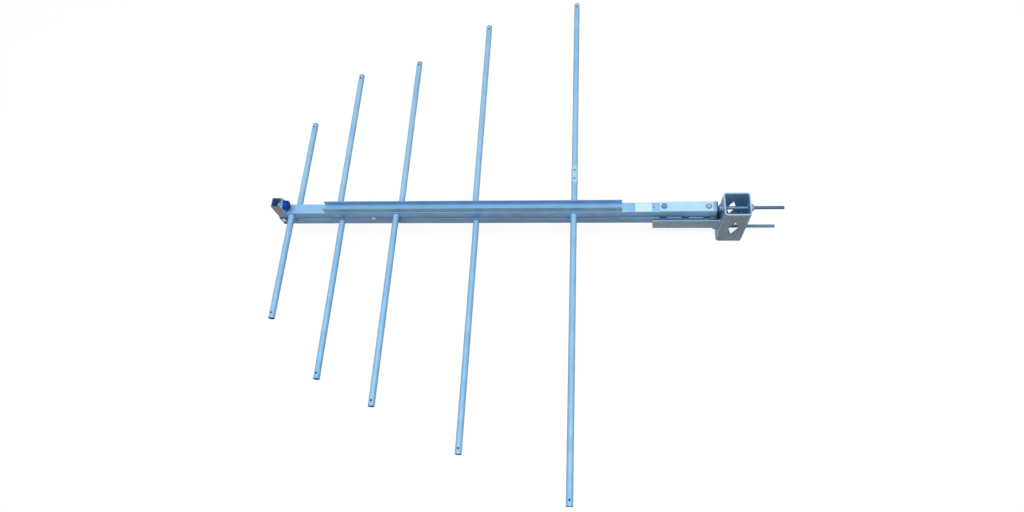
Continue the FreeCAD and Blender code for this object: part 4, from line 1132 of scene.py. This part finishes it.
class AntennaFeedBolt(bpy.types.Operator):
    """Make the bright feed bolt on the insulating block"""

    bl_idname = "antenna.feed_bolt"
    bl_label = "Feed bolt"

    def execute(self, context):
        size = context.scene.antenna_fasteners
        low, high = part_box("feed_bolt")
        axis = middle("feed_bolt")
        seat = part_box("nose_block")[0].y
        head = hexagon("feed_head", (high.x - low.x) / 2, seat - low.y, size.nut_chamfer, both=False)
        stem = cylinder("feed_stem", 3.0 * MM, seat - high.y, 1.0 * MM, 24)
        piece = soften_edges(weld_together("bolt", [head, stem]), 0.2 * MM, 1)
        repeat(piece, [spot(axis.x, seat, axis.z, TO_NEAR, spin(12))], "feed_hex_bolt", "stainless",
               "stainless", "feed_bolt")
        return {"FINISHED"}


# ---- stage


class AntennaStudio(bpy.types.Operator):
    """Set the floor, the light and the camera"""

    bl_idname = "antenna.studio"
    bl_label = "Studio"

    def execute(self, context):
        stage = context.scene.antenna_stage
        scene = context.scene
        scene.view_settings.view_transform = "Standard"

        floor = settle(primitive("plane", "studio_floor", (-0.65, 0, cad_box[0][2] - stage.drop),
                                 size=30))
        paint = Paint(bpy.data.materials.new("studio_floor"))
        matt = paint.node("ShaderNodeBsdfDiffuse", {}, {"Color": (0.15, 0.155, 0.165, 1)})
        shown = paint.node("ShaderNodeBsdfDiffuse", {}, {"Color": (0.2, 0.2, 0.2, 1)})
        glow = paint.node("ShaderNodeEmission", {}, {"Color": (1, 1, 1, 1), "Strength": 0.865})
        shown = paint.node("ShaderNodeAddShader", {}, {0: shown, 1: glow})
        paint.node("ShaderNodeOutputMaterial", {}, {"Surface": self.seen(paint, matt, shown)})
        floor.data.materials.append(paint.owner)

        world = bpy.data.worlds.new("studio")
        scene.world = world
        paint = Paint(world)
        fill = paint.node("ShaderNodeBackground", {},
                          {"Color": (0.93, 0.97, 1.0, 1), "Strength": stage.sky})
        white = paint.node("ShaderNodeBackground", {}, {"Color": (1, 1, 1, 1), "Strength": 1.0})
        paint.node("ShaderNodeOutputWorld", {}, {"Surface": self.seen(paint, fill, white)})

        begin()
        bpy.ops.object.light_add(type="AREA", location=(-0.65, -0.8, 4.2))
        lamp = bpy.context.object
        lamp.name = "overhead_lamp"
        lamp.data.shape = "RECTANGLE"
        lamp.data.size = 4.5
        lamp.data.size_y = 3.4
        lamp.data.energy = stage.overhead
        aim = Vector((-0.65, 0.0, 0.0)) - lamp.location
        lamp.rotation_euler = aim.to_track_quat("-Z", "Y").to_euler()

        begin()
        bpy.ops.object.camera_add(location=stage.place)
        camera = bpy.context.object
        camera.name = "studio_camera"
        camera.matrix_world = self.pose(stage)
        camera.data.sensor_fit = "HORIZONTAL"
        camera.data.sensor_width = 36.0
        camera.data.lens = stage.lens
        camera.data.clip_start = 0.05
        camera.data.clip_end = 100.0
        scene.camera = camera
        return {"FINISHED"}

    def seen(self, paint, fill, shown):
        """A fill for the light, and what camera, glossy and transmission rays are shown."""
        camera, glossy, through = (paint.node("ShaderNodeLightPath", output="Is %s Ray" % kind)
                                   for kind in ("Camera", "Glossy", "Transmission"))
        return paint.node("ShaderNodeMixShader", {},
                          {0: paint.clamp(camera + glossy + through), 1: fill, 2: shown})

    def pose(self, stage):
        """Camera matrix from its place and its three angles."""
        ahead = Vector((math.sin(stage.turn) * math.cos(stage.down),
                        math.cos(stage.turn) * math.cos(stage.down), -math.sin(stage.down)))
        right = Vector((math.cos(stage.turn), -math.sin(stage.turn), 0))
        up = right.cross(ahead)
        side = right * math.cos(stage.roll) + up * math.sin(stage.roll)
        over = up * math.cos(stage.roll) - right * math.sin(stage.roll)
        turn = Matrix((side, over, -ahead)).transposed().to_4x4()
        return Matrix.Translation(stage.place) @ turn


class AntennaPanel(bpy.types.Panel):
    """Sidebar panel with the steps and the sizes"""

    bl_idname = "VIEW3D_PT_antenna"
    bl_label = "Antenna"
    bl_space_type = "VIEW_3D"
    bl_region_type = "UI"
    bl_category = "Antenna"

    def draw(self, context):
        layout = self.layout
        for step in STEPS:
            layout.operator(step.bl_idname)
        for name in GROUPS:
            group = getattr(context.scene, name)
            box = layout.box()
            for word in group.bl_rna.properties.keys():
                if word not in ("rna_type", "name"):
                    box.prop(group, word)


GROUPS = {"antenna_fasteners": AntennaFasteners, "antenna_cap": AntennaCap,
          "antenna_colours": AntennaColours, "antenna_stage": AntennaStage}
STEPS = (AntennaFinishes, AntennaRods, AntennaNuts, AntennaBolts, AntennaScrews, AntennaWelds,
         AntennaDustCap, AntennaFeedBolt, AntennaStudio)
CLASSES = (*GROUPS.values(), *STEPS, AntennaPanel)


def register():
    for entry in CLASSES:
        bpy.utils.register_class(entry)
    for name, group in GROUPS.items():
        setattr(bpy.types.Scene, name, PointerProperty(type=group))


def unregister():
    for name in GROUPS:
        delattr(bpy.types.Scene, name)
    for entry in reversed(CLASSES):
        bpy.utils.unregister_class(entry)


def main():
    register()
    bpy.ops.antenna.finishes()
    bpy.ops.antenna.rods()
    bpy.ops.antenna.nuts()
    bpy.ops.antenna.bolts()
    bpy.ops.antenna.screws()
    bpy.ops.antenna.welds()
    bpy.ops.antenna.dust_cap()
    bpy.ops.antenna.feed_bolt()
    bpy.ops.antenna.studio()
    begin()


if __name__ == "__main__":
    main()
